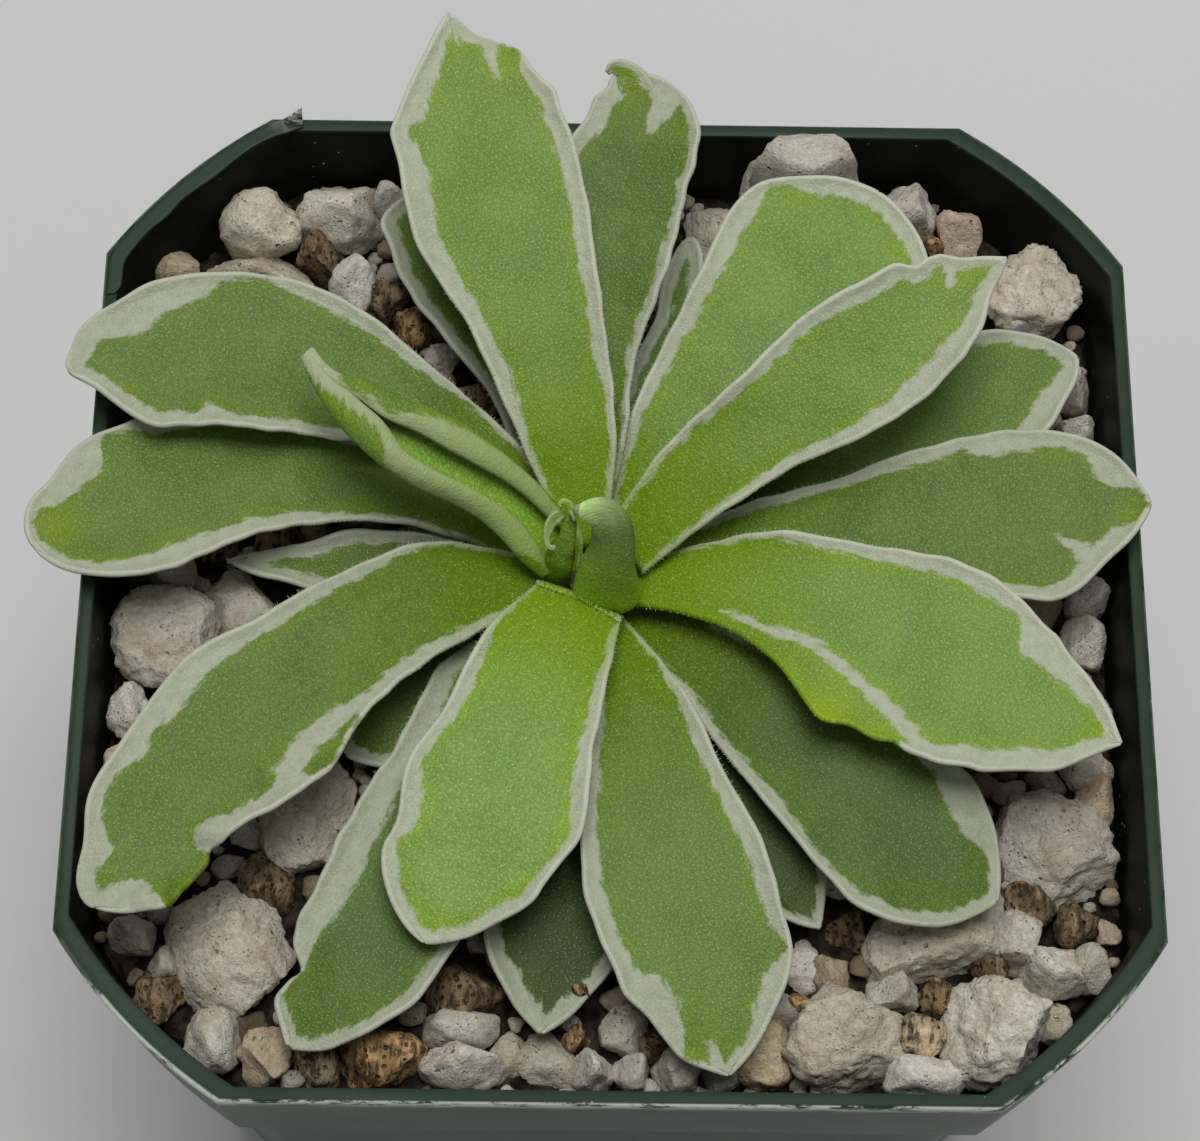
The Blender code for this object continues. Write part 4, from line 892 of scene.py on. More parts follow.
INNER_HOOK = (
    (-2.95, 3.2, 4.1, 0.22, 0), (-3.1, 3.6, 4.4, 0.26, 0), (-3.3, 3.9, 4.65, 0.28, 0),
    (-3.6, 4.0, 4.8, 0.24, 0), (-3.88, 3.85, 4.7, 0.2, 0), (-3.77, 3.6, 4.6, 0.12, 0),
)
INNER_SLIVER = (
    (-2.76, 0.42, 0.6, 0.2, 0), (-2.55, 1.0, 1.8, 0.22, 0), (-2.48, 1.6, 2.7, 0.28, 0),
    (-2.5, 2.2, 3.3, 0.2, 0), (-2.6, 2.8, 3.8, 0.08, 0),
)

# Name, stations, rows, columns, cup, thickness, white margins, tone and shading, shares, seed, veil, glow
INNER_SHEETS = (
    ("inner_blade", INNER_BLADE, 50, 17, -0.35, 0.55, (-0.6, -0.6), 0.95, (0.15, 0.6), 61.0,
     (0.8, 0.8), 0.0),
    ("inner_curl", INNER_CURL, 48, 13, 0.2, 0.3, (0.5, 0.3), 0.9, (0.4, 0.9), 62.0, (0.8, 0.6), 0.0),
    ("inner_hook", INNER_HOOK, 36, 11, 0.1, 0.3, (0.1, 0.1), 1.1, (0.1, 0.3), 63.0, (0.8, 0.8), 0.6),
    ("inner_sliver", INNER_SLIVER, 36, 11, 0.15, 0.3, (0.14, -0.1), 0.9, (0.0, 0.3), 64.0,
     (0.8, 0.8), 0.0),
)

LEAF_09_HOOK = (
    (1.9, 36.9, 3.6, 1.3, 0), (1.5, 38.0, 4.3, 1.35, 0), (1.0, 38.95, 4.7, 1.15, 0),
    (0.35, 39.6, 4.9, 0.8, 5), (-0.35, 39.75, 4.9, 0.5, 5), (-0.8, 39.4, 4.7, 0.2, 5),
)


def add_hook(finish):
    """The tip of leaf_09, which curls over to the left."""
    hook = ribbon_grid(LEAF_09_HOOK, 44, 15, 0.12)
    white = np.linspace((1.0, 0.1), (0.25, 0.2), len(hook))
    add_sheet("leaf_09_hook", hook, 0.4, white, finish, ("leaf_09",), 0.72, (0.6, 0.9), 65.0,
              (0.1, 0.1), 0.55)


def add_centre(finish):
    """The newest leaf, rolled into a hooded thumb, and the small leaf beside it."""
    # The thumb's tones paint light on its base and its hood, and shade on its middle.
    add_loft("centre_thumb", THUMB, finish, (2.0, 1.85, 0.85, 0.47, 0.9, 2.2, 4.2), (0.15, 0.9),
             crease=0.05)
    add_loft("centre_tooth", TOOTH, finish, (1.0, 1.0), (0.3, 0.5), 14, 16)
    for name, stations, rows, columns, cup, thick, white, tone, share, seed, veil, glow in INNER_SHEETS:
        grid = ribbon_grid(stations, rows, columns, cup)
        add_sheet(name, grid, thick, white, finish, ("inner_leaf",), tone, share, seed, veil, glow)


# Glands and hairs


def surface_samples(leaf, look, number, count, draw, span=(0.02, 0.98)):
    """Seeded points on the upper side of a leaf with their normals."""
    grid, half, marks = dressed_leaf(leaf, look, number)
    normal = normals_of(grid)
    area = np.linalg.norm(np.cross(grid[1:, :-1] - grid[:-1, :-1], grid[:-1, 1:] - grid[:-1, :-1]), axis=2)
    along = marks["along"][:-1, :-1]
    area = np.where((along > span[0]) & (along < span[1]), area, 0.0)
    chance = np.cumsum(area.ravel()) / area.sum()
    picks = np.searchsorted(chance, [draw.random() for _ in range(count)])
    i, j = np.unravel_index(np.minimum(picks, chance.size - 1), area.shape)
    u = np.array([draw.random() for _ in range(count)])[:, None]
    v = np.array([draw.random() for _ in range(count)])[:, None]

    def blend(table):
        low = table[i, j] * (1 - u) + table[i + 1, j] * u
        high = table[i, j + 1] * (1 - u) + table[i + 1, j + 1] * u
        return low * (1 - v) + high * v

    points = blend(grid + normal * half[:, :, None])
    return points, blend(normal), blend(marks["edge"][:, :, None])[:, 0]


OCTAHEDRON = np.array(((1, 0, 0), (-1, 0, 0), (0, 1, 0), (0, -1, 0), (0, 0, 1), (0, 0, -1)), dtype=float)
OCTAHEDRON_FACES = np.array((
    (0, 2, 4), (2, 1, 4), (1, 3, 4), (3, 0, 4), (2, 0, 5), (1, 2, 5), (3, 1, 5), (0, 3, 5),
))


# Seeds, counts for each leaf, and lengths in millimetres
GLAND_SEED = 77
GLANDS_ON_LEAF = 420
GLAND_RADII = (0.032, 0.055)
GLAND_STAND = 0.03
GLAND_EDGE_GAP = 0.5
HAIR_SEED = 78
HAIRS_ON_LEAF = 420
HAIR_SPAN = (0.01, 0.3)
HAIR_LENGTHS = (0.18, 0.34)
HAIR_LEAN = 0.06
HAIR_RADIUS = 0.026
HAIR_ROOT = 0.05
MARGIN_HAIRS_TO = 0.5
FOLD_HAIRS = 110
FOLD_SHIFT = np.array((0.0, -0.1, 0.2))


def fine_leaves():
    """The leaves that carry glands and hairs, each with its number and look."""
    for number, leaf in enumerate(LEAVES):
        look = LOOKS.get(leaf.name)
        if look is not None and look.fine:
            yield number, leaf, look


def add_copies(name, points, faces, finish):
    """Many small closed bodies in one piece, each with the same faces."""
    faces = faces[None] + points.shape[1] * np.arange(len(points))[:, None, None]
    place(name, points.reshape(-1, 3), faces.reshape(-1, 3).tolist(), finish)


def add_glands(finish):
    """Sticky droplets held a short stalk's height over the leaves; the stalks are not drawn."""
    draw = random.Random(GLAND_SEED)
    points, radii = [], []
    for number, leaf, look in fine_leaves():
        spots, normals, edge = surface_samples(leaf, look, number, GLANDS_ON_LEAF, draw)
        keep = edge > GLAND_EDGE_GAP
        size = np.array([draw.uniform(*GLAND_RADII) for _ in spots])
        points.append((spots + normals * GLAND_STAND)[keep])
        radii.append(size[keep])
    beads = np.concatenate(points)[:, None] + OCTAHEDRON[None] * np.concatenate(radii)[:, None, None]
    add_copies("gland_droplets", beads, OCTAHEDRON_FACES, finish)


def add_hairs(finish):
    """Fine hairs near the leaf bases, on their surfaces, along their margins and on a fold."""
    draw = random.Random(HAIR_SEED)
    roots, tips = [], []

    def on_line(line, k):
        share = draw.random()
        return (line[k] * (1 - share) + line[k + 1] * share)[None]

    for number, leaf, look in fine_leaves():
        spots, normals, _ = surface_samples(leaf, look, number, HAIRS_ON_LEAF, draw, HAIR_SPAN)
        lean = np.array([[draw.gauss(0, HAIR_LEAN), draw.gauss(0, HAIR_LEAN), 0.0] for _ in spots])
        length = np.array([draw.uniform(*HAIR_LENGTHS) for _ in spots])[:, None]
        roots.append(spots)
        tips.append(spots + normals * length + lean)
        grid, _, marks = dressed_leaf(leaf, look, number)
        near = grid[marks["along"][:, 0] < MARGIN_HAIRS_TO]
        for column, inner in ((0, 3), (-1, -4)):
            edge = near[:, column]
            out = unit(edge - near[:, inner])
            for k in np.repeat(np.arange(len(edge) - 1), 2):
                root = on_line(edge, k)
                reach_out = out[k] * draw.uniform(0.1, 0.24)
                lift = np.array((draw.gauss(0, 0.03), draw.gauss(0, 0.03), draw.uniform(0.04, 0.16)))
                roots.append(root)
                tips.append(root + reach_out + lift)
        if leaf.name == "leaf_02":
            fold = grid[2]
            for _ in range(FOLD_HAIRS):
                root = on_line(fold, draw.randrange(len(fold) - 1))
                lean = np.array((draw.gauss(0, 0.12), draw.uniform(-0.15, 0.15), draw.uniform(0.7, 1.3)))
                roots.append(root + FOLD_SHIFT)
                tips.append(root + lean + FOLD_SHIFT)
    roots, tips = np.concatenate(roots), np.concatenate(tips)
    axis = unit(tips - roots)
    side = unit(np.cross(axis, np.array((0.3, 0.9, 0.2))))
    front = np.cross(axis, side)
    corners = []
    for turn in (0.0, 2.0 * math.pi / 3.0, 4.0 * math.pi / 3.0):
        around = side * math.cos(turn) + front * math.sin(turn)
        corners.append(roots - axis * HAIR_ROOT + around * HAIR_RADIUS)
    points = np.stack((*corners, tips), axis=1)
    add_copies("leaf_hairs", points, np.array(((0, 1, 3), (1, 2, 3), (2, 0, 3), (2, 1, 0))), finish)


# Materials


class Paint:
    """Adds shader nodes to one material with short calls."""

    def __init__(self, name, **sockets):
        self.material = bpy.data.materials.new(name)
        self.material.use_nodes = True
        self.tree = self.material.node_tree
        self.shader = self.tree.nodes["Principled BSDF"]
        for socket, value in sockets.items():
            self.shader.inputs[socket.replace("_", " ")].default_value = value

    def put(self, socket, value):
        if isinstance(value, bpy.types.NodeSocket):
            self.tree.links.new(value, socket)
        else:
            socket.default_value = value

    def node(self, kind, inputs, **settings):
        made = self.tree.nodes.new("ShaderNode" + kind)
        for key, value in settings.items():
            setattr(made, key, value)
        for key, value in inputs.items():
            self.put(made.inputs[key], value)
        return made

    def mark(self, name, vector=False):
        made = self.node("Attribute", {}, attribute_name=name)
        return made.outputs["Vector" if vector else "Fac"]

    def where(self):
        return self.node("TexCoord", {}).outputs["Object"]

    def scaled(self, vector, scale):
        return self.node("VectorMath", {0: vector, 1: scale}, operation="MULTIPLY").outputs[0]

    def noise(self, vector, scale, detail=2.0, rough=0.5):
        inputs = {"Vector": vector, "Scale": scale, "Detail": detail, "Roughness": rough}
        return self.node("TexNoise", inputs).outputs["Fac"]

    def patches(self, vector, scale, detail, low, high, to_low=0.0, to_high=1.0, rough=0.5):
        """Noise spread over a range, with soft edges."""
        return self.span(self.noise(vector, scale, detail, rough), low, high, to_low, to_high)

    def cells(self, vector, scale, jitter=1.0, dimensions="3D"):
        made = self.node("TexVoronoi", {"Vector": vector, "Scale": scale, "Randomness": jitter},
                         voronoi_dimensions=dimensions)
        return made.outputs["Distance"]

    def calc(self, operation, a, b):
        return self.node("Math", {0: a, 1: b}, operation=operation).outputs[0]

    def times(self, a, b):
        return self.calc("MULTIPLY", a, b)

    def span(self, value, low, high, to_low=0.0, to_high=1.0, smooth=True):
        made = self.node("MapRange", {"Value": value, "From Min": low, "From Max": high,
                                      "To Min": to_low, "To Max": to_high}, clamp=True)
        if smooth:
            made.interpolation_type = "SMOOTHSTEP"
        return made.outputs["Result"]

    def mix(self, share, a, b, blend="MIX"):
        made = self.node("Mix", {}, data_type="RGBA", blend_type=blend)
        for socket, value in ((0, share), (6, a), (7, b)):
            if isinstance(value, tuple) and len(value) == 3:
                value = (*value, 1.0)
            self.put(made.inputs[socket], value)
        return made.outputs[2]

    def bright(self, colour, value):
        """A colour multiplied by one number."""
        return self.node("VectorMath", {0: colour, "Scale": value}, operation="SCALE").outputs[0]

    def bump(self, height, distance, strength=1.0, before=None):
        made = self.node("Bump", {"Height": height, "Distance": distance, "Strength": strength})
        if before is not None:
            self.put(made.inputs["Normal"], before)
        return made.outputs[0]

    def finish(self, colour, normal=None, roughness=None, specular=None):
        sockets = {"Base Color": colour, "Normal": normal, "Roughness": roughness,
                   "Specular IOR Level": specular}
        for name, value in sockets.items():
            if value is not None:
                self.put(self.shader.inputs[name], value)
        return self.material


LEAF_CENTRE = tint(108, 140, 52)
LEAF_DEEP = tint(94, 127, 44)
LEAF_LIME = tint(118, 148, 20)
LEAF_BASE = tint(105, 136, 5)
LEAF_WHITE = tint(172, 178, 152)
LEAF_MARGIN_GREY = tint(157, 164, 138)
# A painted highlight along the cut edge of the white margin.
LEAF_EDGE_HIGHLIGHT = tint(194, 198, 180)
LEAF_FROST = tint(154, 176, 122)
LEAF_YELLOW = tint(136, 160, 14)
LEAF_VEIL = tint(142, 168, 84)
GLAND_PALE = tint(148, 184, 62)
GLAND_BRIGHT = tint(196, 214, 136)
GLAND_WHITE = tint(200, 203, 190)
UNDER_WHITE = tint(164, 170, 148)
UNDER_GREEN = tint(120, 148, 76)
PAINTED = ("green", "edge", "along", "tone", "veil", "glow", "frost", "under")


def leaf_paint():
    paint = Paint("leaf_skin", Roughness=0.5, Subsurface_Weight=0.12, Subsurface_Scale=0.0012)
    flat = paint.mark("flat", vector=True)
    green, edge, along, tone, veil, glow, frost, under = (paint.mark(name) for name in PAINTED)

    # The boundary of the green, with lengthwise teeth
    teeth = paint.noise(paint.scaled(flat, (2.0, 0.7, 1.0)), 1.0, 3.0)
    fine = paint.noise(flat, 4.5, 2.0)
    shift = paint.calc("ADD", paint.span(teeth, 0.3, 0.7, -0.24, 0.24, False),
                      paint.span(fine, 0.3, 0.7, -0.08, 0.08, False))
    inside = paint.calc("ADD", green, shift)
    mask = paint.span(inside, -0.2, 0.22)

    # Green: bluish in the middle, lime towards the boundary and the base
    body = paint.mix(paint.patches(flat, 0.22, 2.0, 0.35, 0.7), LEAF_CENTRE, LEAF_DEEP)
    here = paint.patches(flat, 0.3, 2.0, 0.36, 0.62, 0.25, 1.0)
    near_edge = paint.times(paint.span(inside, 0.1, 1.3, 0.8, 0.0), here)
    body = paint.mix(near_edge, body, LEAF_LIME)
    body = paint.mix(paint.span(along, 0.1, 0.5, 0.95, 0.0), body, LEAF_BASE)
    body = paint.mix(frost, body, LEAF_FROST)
    body = paint.mix(glow, body, LEAF_YELLOW)

    # Veins run faintly along the blade
    veins = paint.patches(paint.scaled(flat, (1.7, 0.12, 1.0)), 1.0, 2.0, 0.45, 0.8, 0.0, 0.22)
    body = paint.mix(veins, body, LEAF_DEEP)

    # Glands: a fine even grain of pale dots, some of them brighter
    gland = paint.span(paint.cells(flat, 3.5, 0.9, "2D"), 0.12, 0.42, 1.0, 0.0)
    sparse = paint.span(paint.cells(flat, 1.3, 1.0, "2D"), 0.05, 0.1, 1.0, 0.0)
    body = paint.mix(paint.times(gland, paint.span(along, 0.05, 0.4, 0.14, 0.38)), body, GLAND_PALE)
    body = paint.mix(paint.times(sparse, 0.35), body, GLAND_BRIGHT)
    grain = paint.patches(flat, 5.0, 3.0, 0.3, 0.7, 0.84, 1.1)
    # Painted shade: the green is darkened by the leaf's tone, which is partly its own tone.
    body = paint.bright(body, paint.times(tone, grain))

    # White: a smooth grey with a painted highlight along the cut
    mottle = paint.patches(flat, 1.1, 3.0, 0.35, 0.7, 0.0, 0.8, 0.6)
    white = paint.mix(mottle, LEAF_WHITE, LEAF_MARGIN_GREY)
    white = paint.mix(paint.times(gland, 0.2), white, GLAND_WHITE)
    white = paint.mix(paint.span(edge, 0.07, 0.24, 0.75, 0.0), white, LEAF_EDGE_HIGHLIGHT)
    white = paint.mix(veil, white, LEAF_VEIL)
    # Painted shade: the white of a leaf with a low tone is darker.
    white = paint.bright(white, paint.span(tone, 0.5, 1.0, 0.86, 1.0, False))
    skin = paint.mix(under, paint.mix(mask, white, body), paint.mix(mask, UNDER_WHITE, UNDER_GREEN))
    normal = paint.bump(paint.noise(flat, 1.1, 3.0), 0.0003, 0.4)
    normal = paint.bump(gland, 0.00005, 0.4, normal)
    return paint.finish(skin, normal, paint.span(gland, 0.0, 1.0, 0.54, 0.34),
                        paint.span(along, 0.1, 0.55, 0.08, 0.22))


def two_tone(name, first, second, scale, detail, low, high, **sockets):
    """A material with two colours in soft patches: its paint, the place of a point and its colour."""
    paint = Paint(name, **sockets)
    where = paint.where()
    return paint, where, paint.mix(paint.patches(where, scale, detail, low, high), first, second)


def gland_paint():
    paint, _, colour = two_tone("gland_droplets", tint(176, 194, 138), tint(208, 216, 184), 900.0, 2.0,
                                0.35, 0.65, Roughness=0.25, Specular_IOR_Level=0.6)
    return paint.finish(colour)


def stone_paint():
    paint = Paint("pumice_stone", Roughness=0.9, Specular_IOR_Level=0.25)
    where = paint.where()
    own = paint.mark("stone_colour", vector=True)
    large = paint.noise(where, 380.0, 4.0, 0.6)
    fine = paint.noise(where, 2400.0, 5.0, 0.75)
    grain = paint.noise(where, 6000.0, 3.0, 0.7)
    pits = paint.cells(where, 1100.0)
    small = paint.cells(where, 2800.0)
    colour = paint.mix(paint.span(large, 0.45, 0.7, 0.0, 0.45), own, tint(196, 172, 138), "MULTIPLY")
    colour = paint.mix(paint.span(fine, 0.36, 0.6, 0.32, 0.0), colour, tint(124, 112, 96))
    colour = paint.mix(paint.span(grain, 0.4, 0.65, 0.22, 0.0), colour, tint(128, 118, 104))
    some = paint.patches(where, 600.0, 2.0, 0.48, 0.62)
    hole = paint.times(paint.span(pits, 0.08, 0.22, 1.0, 0.0), some)
    tiny = paint.times(paint.span(small, 0.1, 0.3, 0.5, 0.0), some)
    # Painted shade: the pits and pores are darker inside.
    colour = paint.mix(paint.times(hole, 0.55), colour, tint(84, 70, 56))
    colour = paint.mix(tiny, colour, tint(104, 92, 78))
    relief = paint.calc("SUBTRACT", paint.calc("ADD", fine, paint.times(grain, 0.3)),
                       paint.calc("ADD", hole, tiny))
    normal = paint.bump(relief, 0.0003)
    return paint.finish(colour, paint.bump(large, 0.0008, 0.7, normal))


def crust_paint():
    paint = Paint("crust_stone", Roughness=0.95, Specular_IOR_Level=0.15)
    where = paint.where()
    own = paint.mark("stone_colour", vector=True)
    flakes = paint.noise(paint.scaled(where, (1.0, 0.4, 0.5)), 1500.0, 5.0, 0.75)
    patches = paint.noise(where, 420.0, 3.0, 0.6)
    pits = paint.cells(where, 1500.0)
    colour = paint.mix(paint.span(patches, 0.4, 0.62), own, paint.bright(own, 2.1))
    colour = paint.mix(paint.span(flakes, 0.4, 0.56, 0.85, 0.0), colour, tint(46, 36, 26))
    colour = paint.mix(paint.span(flakes, 0.58, 0.72, 0.0, 0.6), colour, tint(206, 186, 150))
    hole = paint.span(pits, 0.12, 0.32, 1.0, 0.0)
    # Painted shade: the pits are darker inside.
    colour = paint.mix(paint.times(hole, 0.6), colour, tint(34, 27, 20))
    relief = paint.calc("SUBTRACT", flakes, paint.times(hole, 0.6))
    normal = paint.bump(relief, 0.0005)
    return paint.finish(colour, paint.bump(patches, 0.0006, 0.6, normal))


def hair_paint():
    paint, _, colour = two_tone("leaf_hairs", tint(188, 206, 120), tint(214, 222, 176), 500.0, 2.0,
                                0.4, 0.6, Roughness=0.4)
    return paint.finish(colour)


def crown_paint():
    paint, where, colour = two_tone("crown_stem", tint(150, 160, 96), tint(116, 100, 66), 350.0, 3.0,
                                    0.35, 0.65, Roughness=0.6)
    return paint.finish(colour, paint.bump(paint.noise(where, 900.0, 3.0), 0.0003, 0.6))


def soil_paint():
    # Nearly black: partly the filling's own dark colour, partly painted shade for the deep gaps between the
    # stones.
    paint, where, colour = two_tone("grit_and_painted_shade", tint(24, 20, 16), tint(64, 55, 45), 1200.0, 3.0,
                                    0.35, 0.7, Roughness=0.95, Specular_IOR_Level=0.15)
    return paint.finish(colour, paint.bump(paint.cells(where, 900.0), 0.0008))


def pot_paint():
    paint = Paint("pot_plastic_green")
    where = paint.where()
    scuff_and_highlight, inner, rim = (paint.mark(name) for name in ("scuff_and_highlight", "inner", "rim"))
    cloud = paint.noise(where, 60.0, 3.0)
    colour = paint.mix(paint.span(cloud, 0.35, 0.7), tint(44, 57, 49), tint(54, 67, 58))
    height = paint.node("SeparateXYZ", {0: where}).outputs["Z"]
    # Lighter on the collar, darker below its step: partly dust on the collar, partly painted light on the
    # collar and painted shade under its step.
    colour = paint.bright(colour, paint.span(height, 0.059, 0.0605, 0.86, 1.16, False))
    # Painted shade: the inside of the pot is darkened nearly to black.
    colour = paint.mix(inner, colour, tint(18, 22, 17))
    # Painted shade: the top of the rim is darker than the sides of the pot.
    colour = paint.mix(rim, colour, tint(37, 54, 40))
    speck = paint.span(paint.cells(where, 700.0), 0.05, 0.1, 1.0, 0.0)
    speck = paint.times(speck, paint.patches(where, 160.0, 2.0, 0.54, 0.62))
    colour = paint.mix(paint.times(speck, 0.6), colour, tint(190, 196, 186))
    # Scuffs on the outer edge of the rim, and a painted highlight along its front.
    scuff = paint.patches(paint.scaled(where, (1.0, 1.0, 6.0)), 300.0, 5.0, 0.42, 0.52, rough=0.75)
    colour = paint.mix(paint.times(scuff_and_highlight, scuff), colour, tint(196, 202, 190))
    normal = paint.bump(paint.noise(where, 1800.0, 2.0), 0.00003, 0.7)
    dull = paint.calc("MAXIMUM", inner, rim)
    return paint.finish(colour, paint.bump(cloud, 0.0008, 0.15, normal),
                        paint.span(cloud, 0.3, 0.7, 0.36, 0.5), paint.span(dull, 0.0, 1.0, 0.4, 0.1))


# The pot


def width_at(height):
    width = RIM_WIDTH - 2.0 * TAPER * (POT_HEIGHT - height)
    if height < POT_HEIGHT - COLLAR_HEIGHT:
        width -= 2.0 * COLLAR_STEP
    return width


def outline(width, height):
    """One level of the pot: flats and slightly bulging cut corners, finely divided."""
    half = width / 2.0
    near = half - CORNER_CUT
    start, end = np.array((half, near)), np.array((near, half))
    out = np.array((1.0, 1.0)) / math.sqrt(2.0)
    corner = []
    for share in (step / CORNER_STEPS for step in range(CORNER_STEPS + 1)):
        corner.append(start + (end - start) * share + out * CORNER_BULGE * 4.0 * share * (1.0 - share))
    corner += [(near - 2.0 * near * step / FLAT_STEPS, half) for step in range(1, FLAT_STEPS)]
    points = []
    for cos, sin in ((1, 0), (0, 1), (-1, 0), (0, -1)):
        points += [(x * cos - y * sin, x * sin + y * cos, height) for x, y in corner]
    return points


def circle(x, y, height, radius, sides):
    turn = [2.0 * math.pi * k / sides for k in range(sides)]
    return [(x + radius * math.cos(a), y + radius * math.sin(a), height) for a in turn]


def rings_faces(levels, count):
    """Faces of a closed body made of rings of points, one above the other."""
    faces = []
    for low in range(0, (levels - 1) * count, count):
        for k in range(count):
            a, b = low + k, low + (k + 1) % count
            faces.append((a, b, b + count, a + count))
    last = (levels - 1) * count
    faces.append(tuple(range(count))[::-1])
    faces.append(tuple(range(last, last + count)))
    return faces


# The thin film left on one corner of the rim
FILM_STEPS = 160
FILM_COLUMNS = 9
FILM_HALF_THICK = 0.07
FILM_ABOVE = 0.06
# X and y of its wavy inner edge and how far it stands up
RIM_FILM = (
    (-37.1, 22.6, 0.0), (-36.6, 23.4, 0.0), (-36.5, 25.2, 0.0), (-35.8, 26.6, 0.0), (-34.8, 28.0, 0.0),
    (-33.5, 29.3, 0.0), (-32.6, 30.6, 0.0), (-31.5, 31.6, 0.0), (-30.3, 32.6, 0.0), (-28.9, 34.0, 0.0),
    (-27.6, 35.2, 0.0), (-26.2, 36.1, 0.0), (-25.5, 36.4, 0.1), (-24.9, 36.6, 0.6), (-24.3, 36.9, 1.3),
    (-23.8, 37.1, 1.9),
)


def add_rim_film(finish):
    """The film lies on the rim as far as its outer edge, and its end stands up."""
    fine = curve_through(RIM_FILM, FILM_STEPS)
    brim = np.array(outline(RIM_WIDTH - 0.5, POT_HEIGHT))[:, :2]
    step = np.roll(brim, -1, axis=0) - brim
    gap = fine[:, None, :2] - brim[None]
    share = np.clip((gap * step).sum(axis=2) / (step**2).sum(axis=1), 0.0, 1.0)
    near = brim + share[:, :, None] * step
    closest = np.linalg.norm(fine[:, None, :2] - near, axis=2).argmin(axis=1)
    outer = near[np.arange(len(fine)), closest]
    share = np.linspace(1.0, 0.0, FILM_COLUMNS)[None, :, None]
    flat = fine[:, None, :2] * (1.0 - share) + outer[:, None] * share
    rise = fine[:, None, 2:3] * share**2
    grid = np.concatenate((flat, POT_HEIGHT + FILM_ABOVE + rise), axis=2)
    points, faces, source, _ = sheet_solid(grid, np.full(grid.shape[:2], FILM_HALF_THICK))
    pale = np.clip(rise[:, :, 0] * 2.0, 0.0, 1.0).ravel()[source]
    # The film takes the rim's painted shade where it lies flat, and is paler, like the scuffs and the
    # painted highlight, where it stands up.
    marks = {"scuff_and_highlight": pale, "inner": np.zeros(len(points)), "rim": 0.75 - 0.5 * pale}
    place("rim_film", points, faces, finish, marks, ("pot",))


def add_pot(finish):
    """The pot with rounded edges, its drain holes cut through the floor."""
    collar = POT_HEIGHT - COLLAR_HEIGHT
    body = width_at(collar) - 2.0 * COLLAR_STEP
    shelf = collar + WALL
    top = POT_HEIGHT
    foot = width_at(0.0) - 2.0 * FOOT_ROUND
    levels = [
        (foot - 4.0, 0.25), (foot - 2.0, 0.2), (foot - 1.4, 0.0), (foot, 0.0),
        (width_at(0.0) - 0.9 * FOOT_ROUND, 0.1), (width_at(0.0) - 0.3 * FOOT_ROUND, 0.35),
        (width_at(FOOT_ROUND), FOOT_ROUND),
    ]
    levels += [(width_at(height), height) for height in np.linspace(4.0, collar - 1.0, 12)]
    levels += [
        (body, collar), (width_at(collar) - 0.5, collar), (width_at(collar) - 0.12, collar + 0.08),
        (width_at(collar + 0.3), collar + 0.3),
    ]
    levels += [(width_at(height), height) for height in np.linspace(collar + 1.5, top - 1.5, 5)]
    edge = len(levels)
    levels += [
        (RIM_WIDTH, top - 0.32), (RIM_WIDTH - 0.08, top - 0.14), (RIM_WIDTH - 0.26, top - 0.03),
        (RIM_WIDTH - 0.5, top), (RIM_WIDTH - 2.0 * WALL + 0.4, top),
        (RIM_WIDTH - 2.0 * WALL + 0.14, top - 0.05), (RIM_WIDTH - 2.0 * WALL, top - 0.25),
    ]
    inside = len(levels) - 1
    levels += [
        (width_at(shelf) - 2.0 * WALL + 0.1, shelf + 0.4),
        (width_at(shelf) - 2.0 * WALL - 0.2, shelf + 0.1),
        (width_at(shelf) - 2.0 * WALL - 0.6, shelf), (body - 2.0 * WALL, shelf),
    ]
    levels += [(width_at(height) - 2.0 * WALL, height) for height in np.linspace(collar - 3.0, 4.0, 8)]
    levels.append((width_at(FLOOR) - 2.0 * WALL - 0.6, FLOOR))

    rings = np.array([outline(width, height) for width, height in levels])
    marks = {name: np.zeros(rings.shape[:2]) for name in ("scuff_and_highlight", "inner", "rim")}
    # Scuffs along the outer edge of the rim, and on its front a painted highlight as well.
    marks["scuff_and_highlight"][edge:edge + 3] = np.where(rings[edge:edge + 3, :, 1] < SCUFF_AND_HIGHLIGHT_FRONT, 1.0, WORN_ELSEWHERE)
    # The top of the rim, marked for its painted shade.
    marks["rim"][edge + 2:edge + 6] = 1.0
    # The inside of the pot, marked for its painted shade.
    marks["inner"][inside:] = 1.0
    pot = place("nursery_pot", rings.reshape(-1, 3), rings_faces(*rings.shape[:2]), finish,
                {name: values.ravel() for name, values in marks.items()}, ("pot",))
    for x in (-DRAIN_OFFSET, DRAIN_OFFSET):
        for y in (-DRAIN_OFFSET, DRAIN_OFFSET):
            ends = [circle(x, y, height, DRAIN_DIAMETER / 2.0, DRAIN_SIDES) for height in DRAIN_CUT]
            hole = plain_mesh("drain", np.concatenate(ends), rings_faces(2, DRAIN_SIDES))
            drill = add_object("drain", hole)
            cut = pot.modifiers.new("drain", "BOOLEAN")
            cut.operation = "DIFFERENCE"
            cut.solver = "EXACT"
            cut.object = drill
            graph = bpy.context.evaluated_depsgraph_get()
            shape = bpy.data.meshes.new_from_object(pot.evaluated_get(graph))
            pot.modifiers.clear()
            pot.data = shape
            bpy.data.objects.remove(drill)
    pot.data.shade_smooth()
    pot.data.set_sharp_from_angle(angle=math.radians(SHARP_ANGLE))


# Stones


def leaf_undersides():
    """Points just under the CAD's leaves, to keep the stones clear of them."""
    points = np.concatenate([leaf_grid(leaf, 33, 11).reshape(-1, 3) for leaf in LEAVES])
    points[:, 2] -= LEAF_THICK / 2.0
    return points


UNDERSIDES = leaf_undersides()


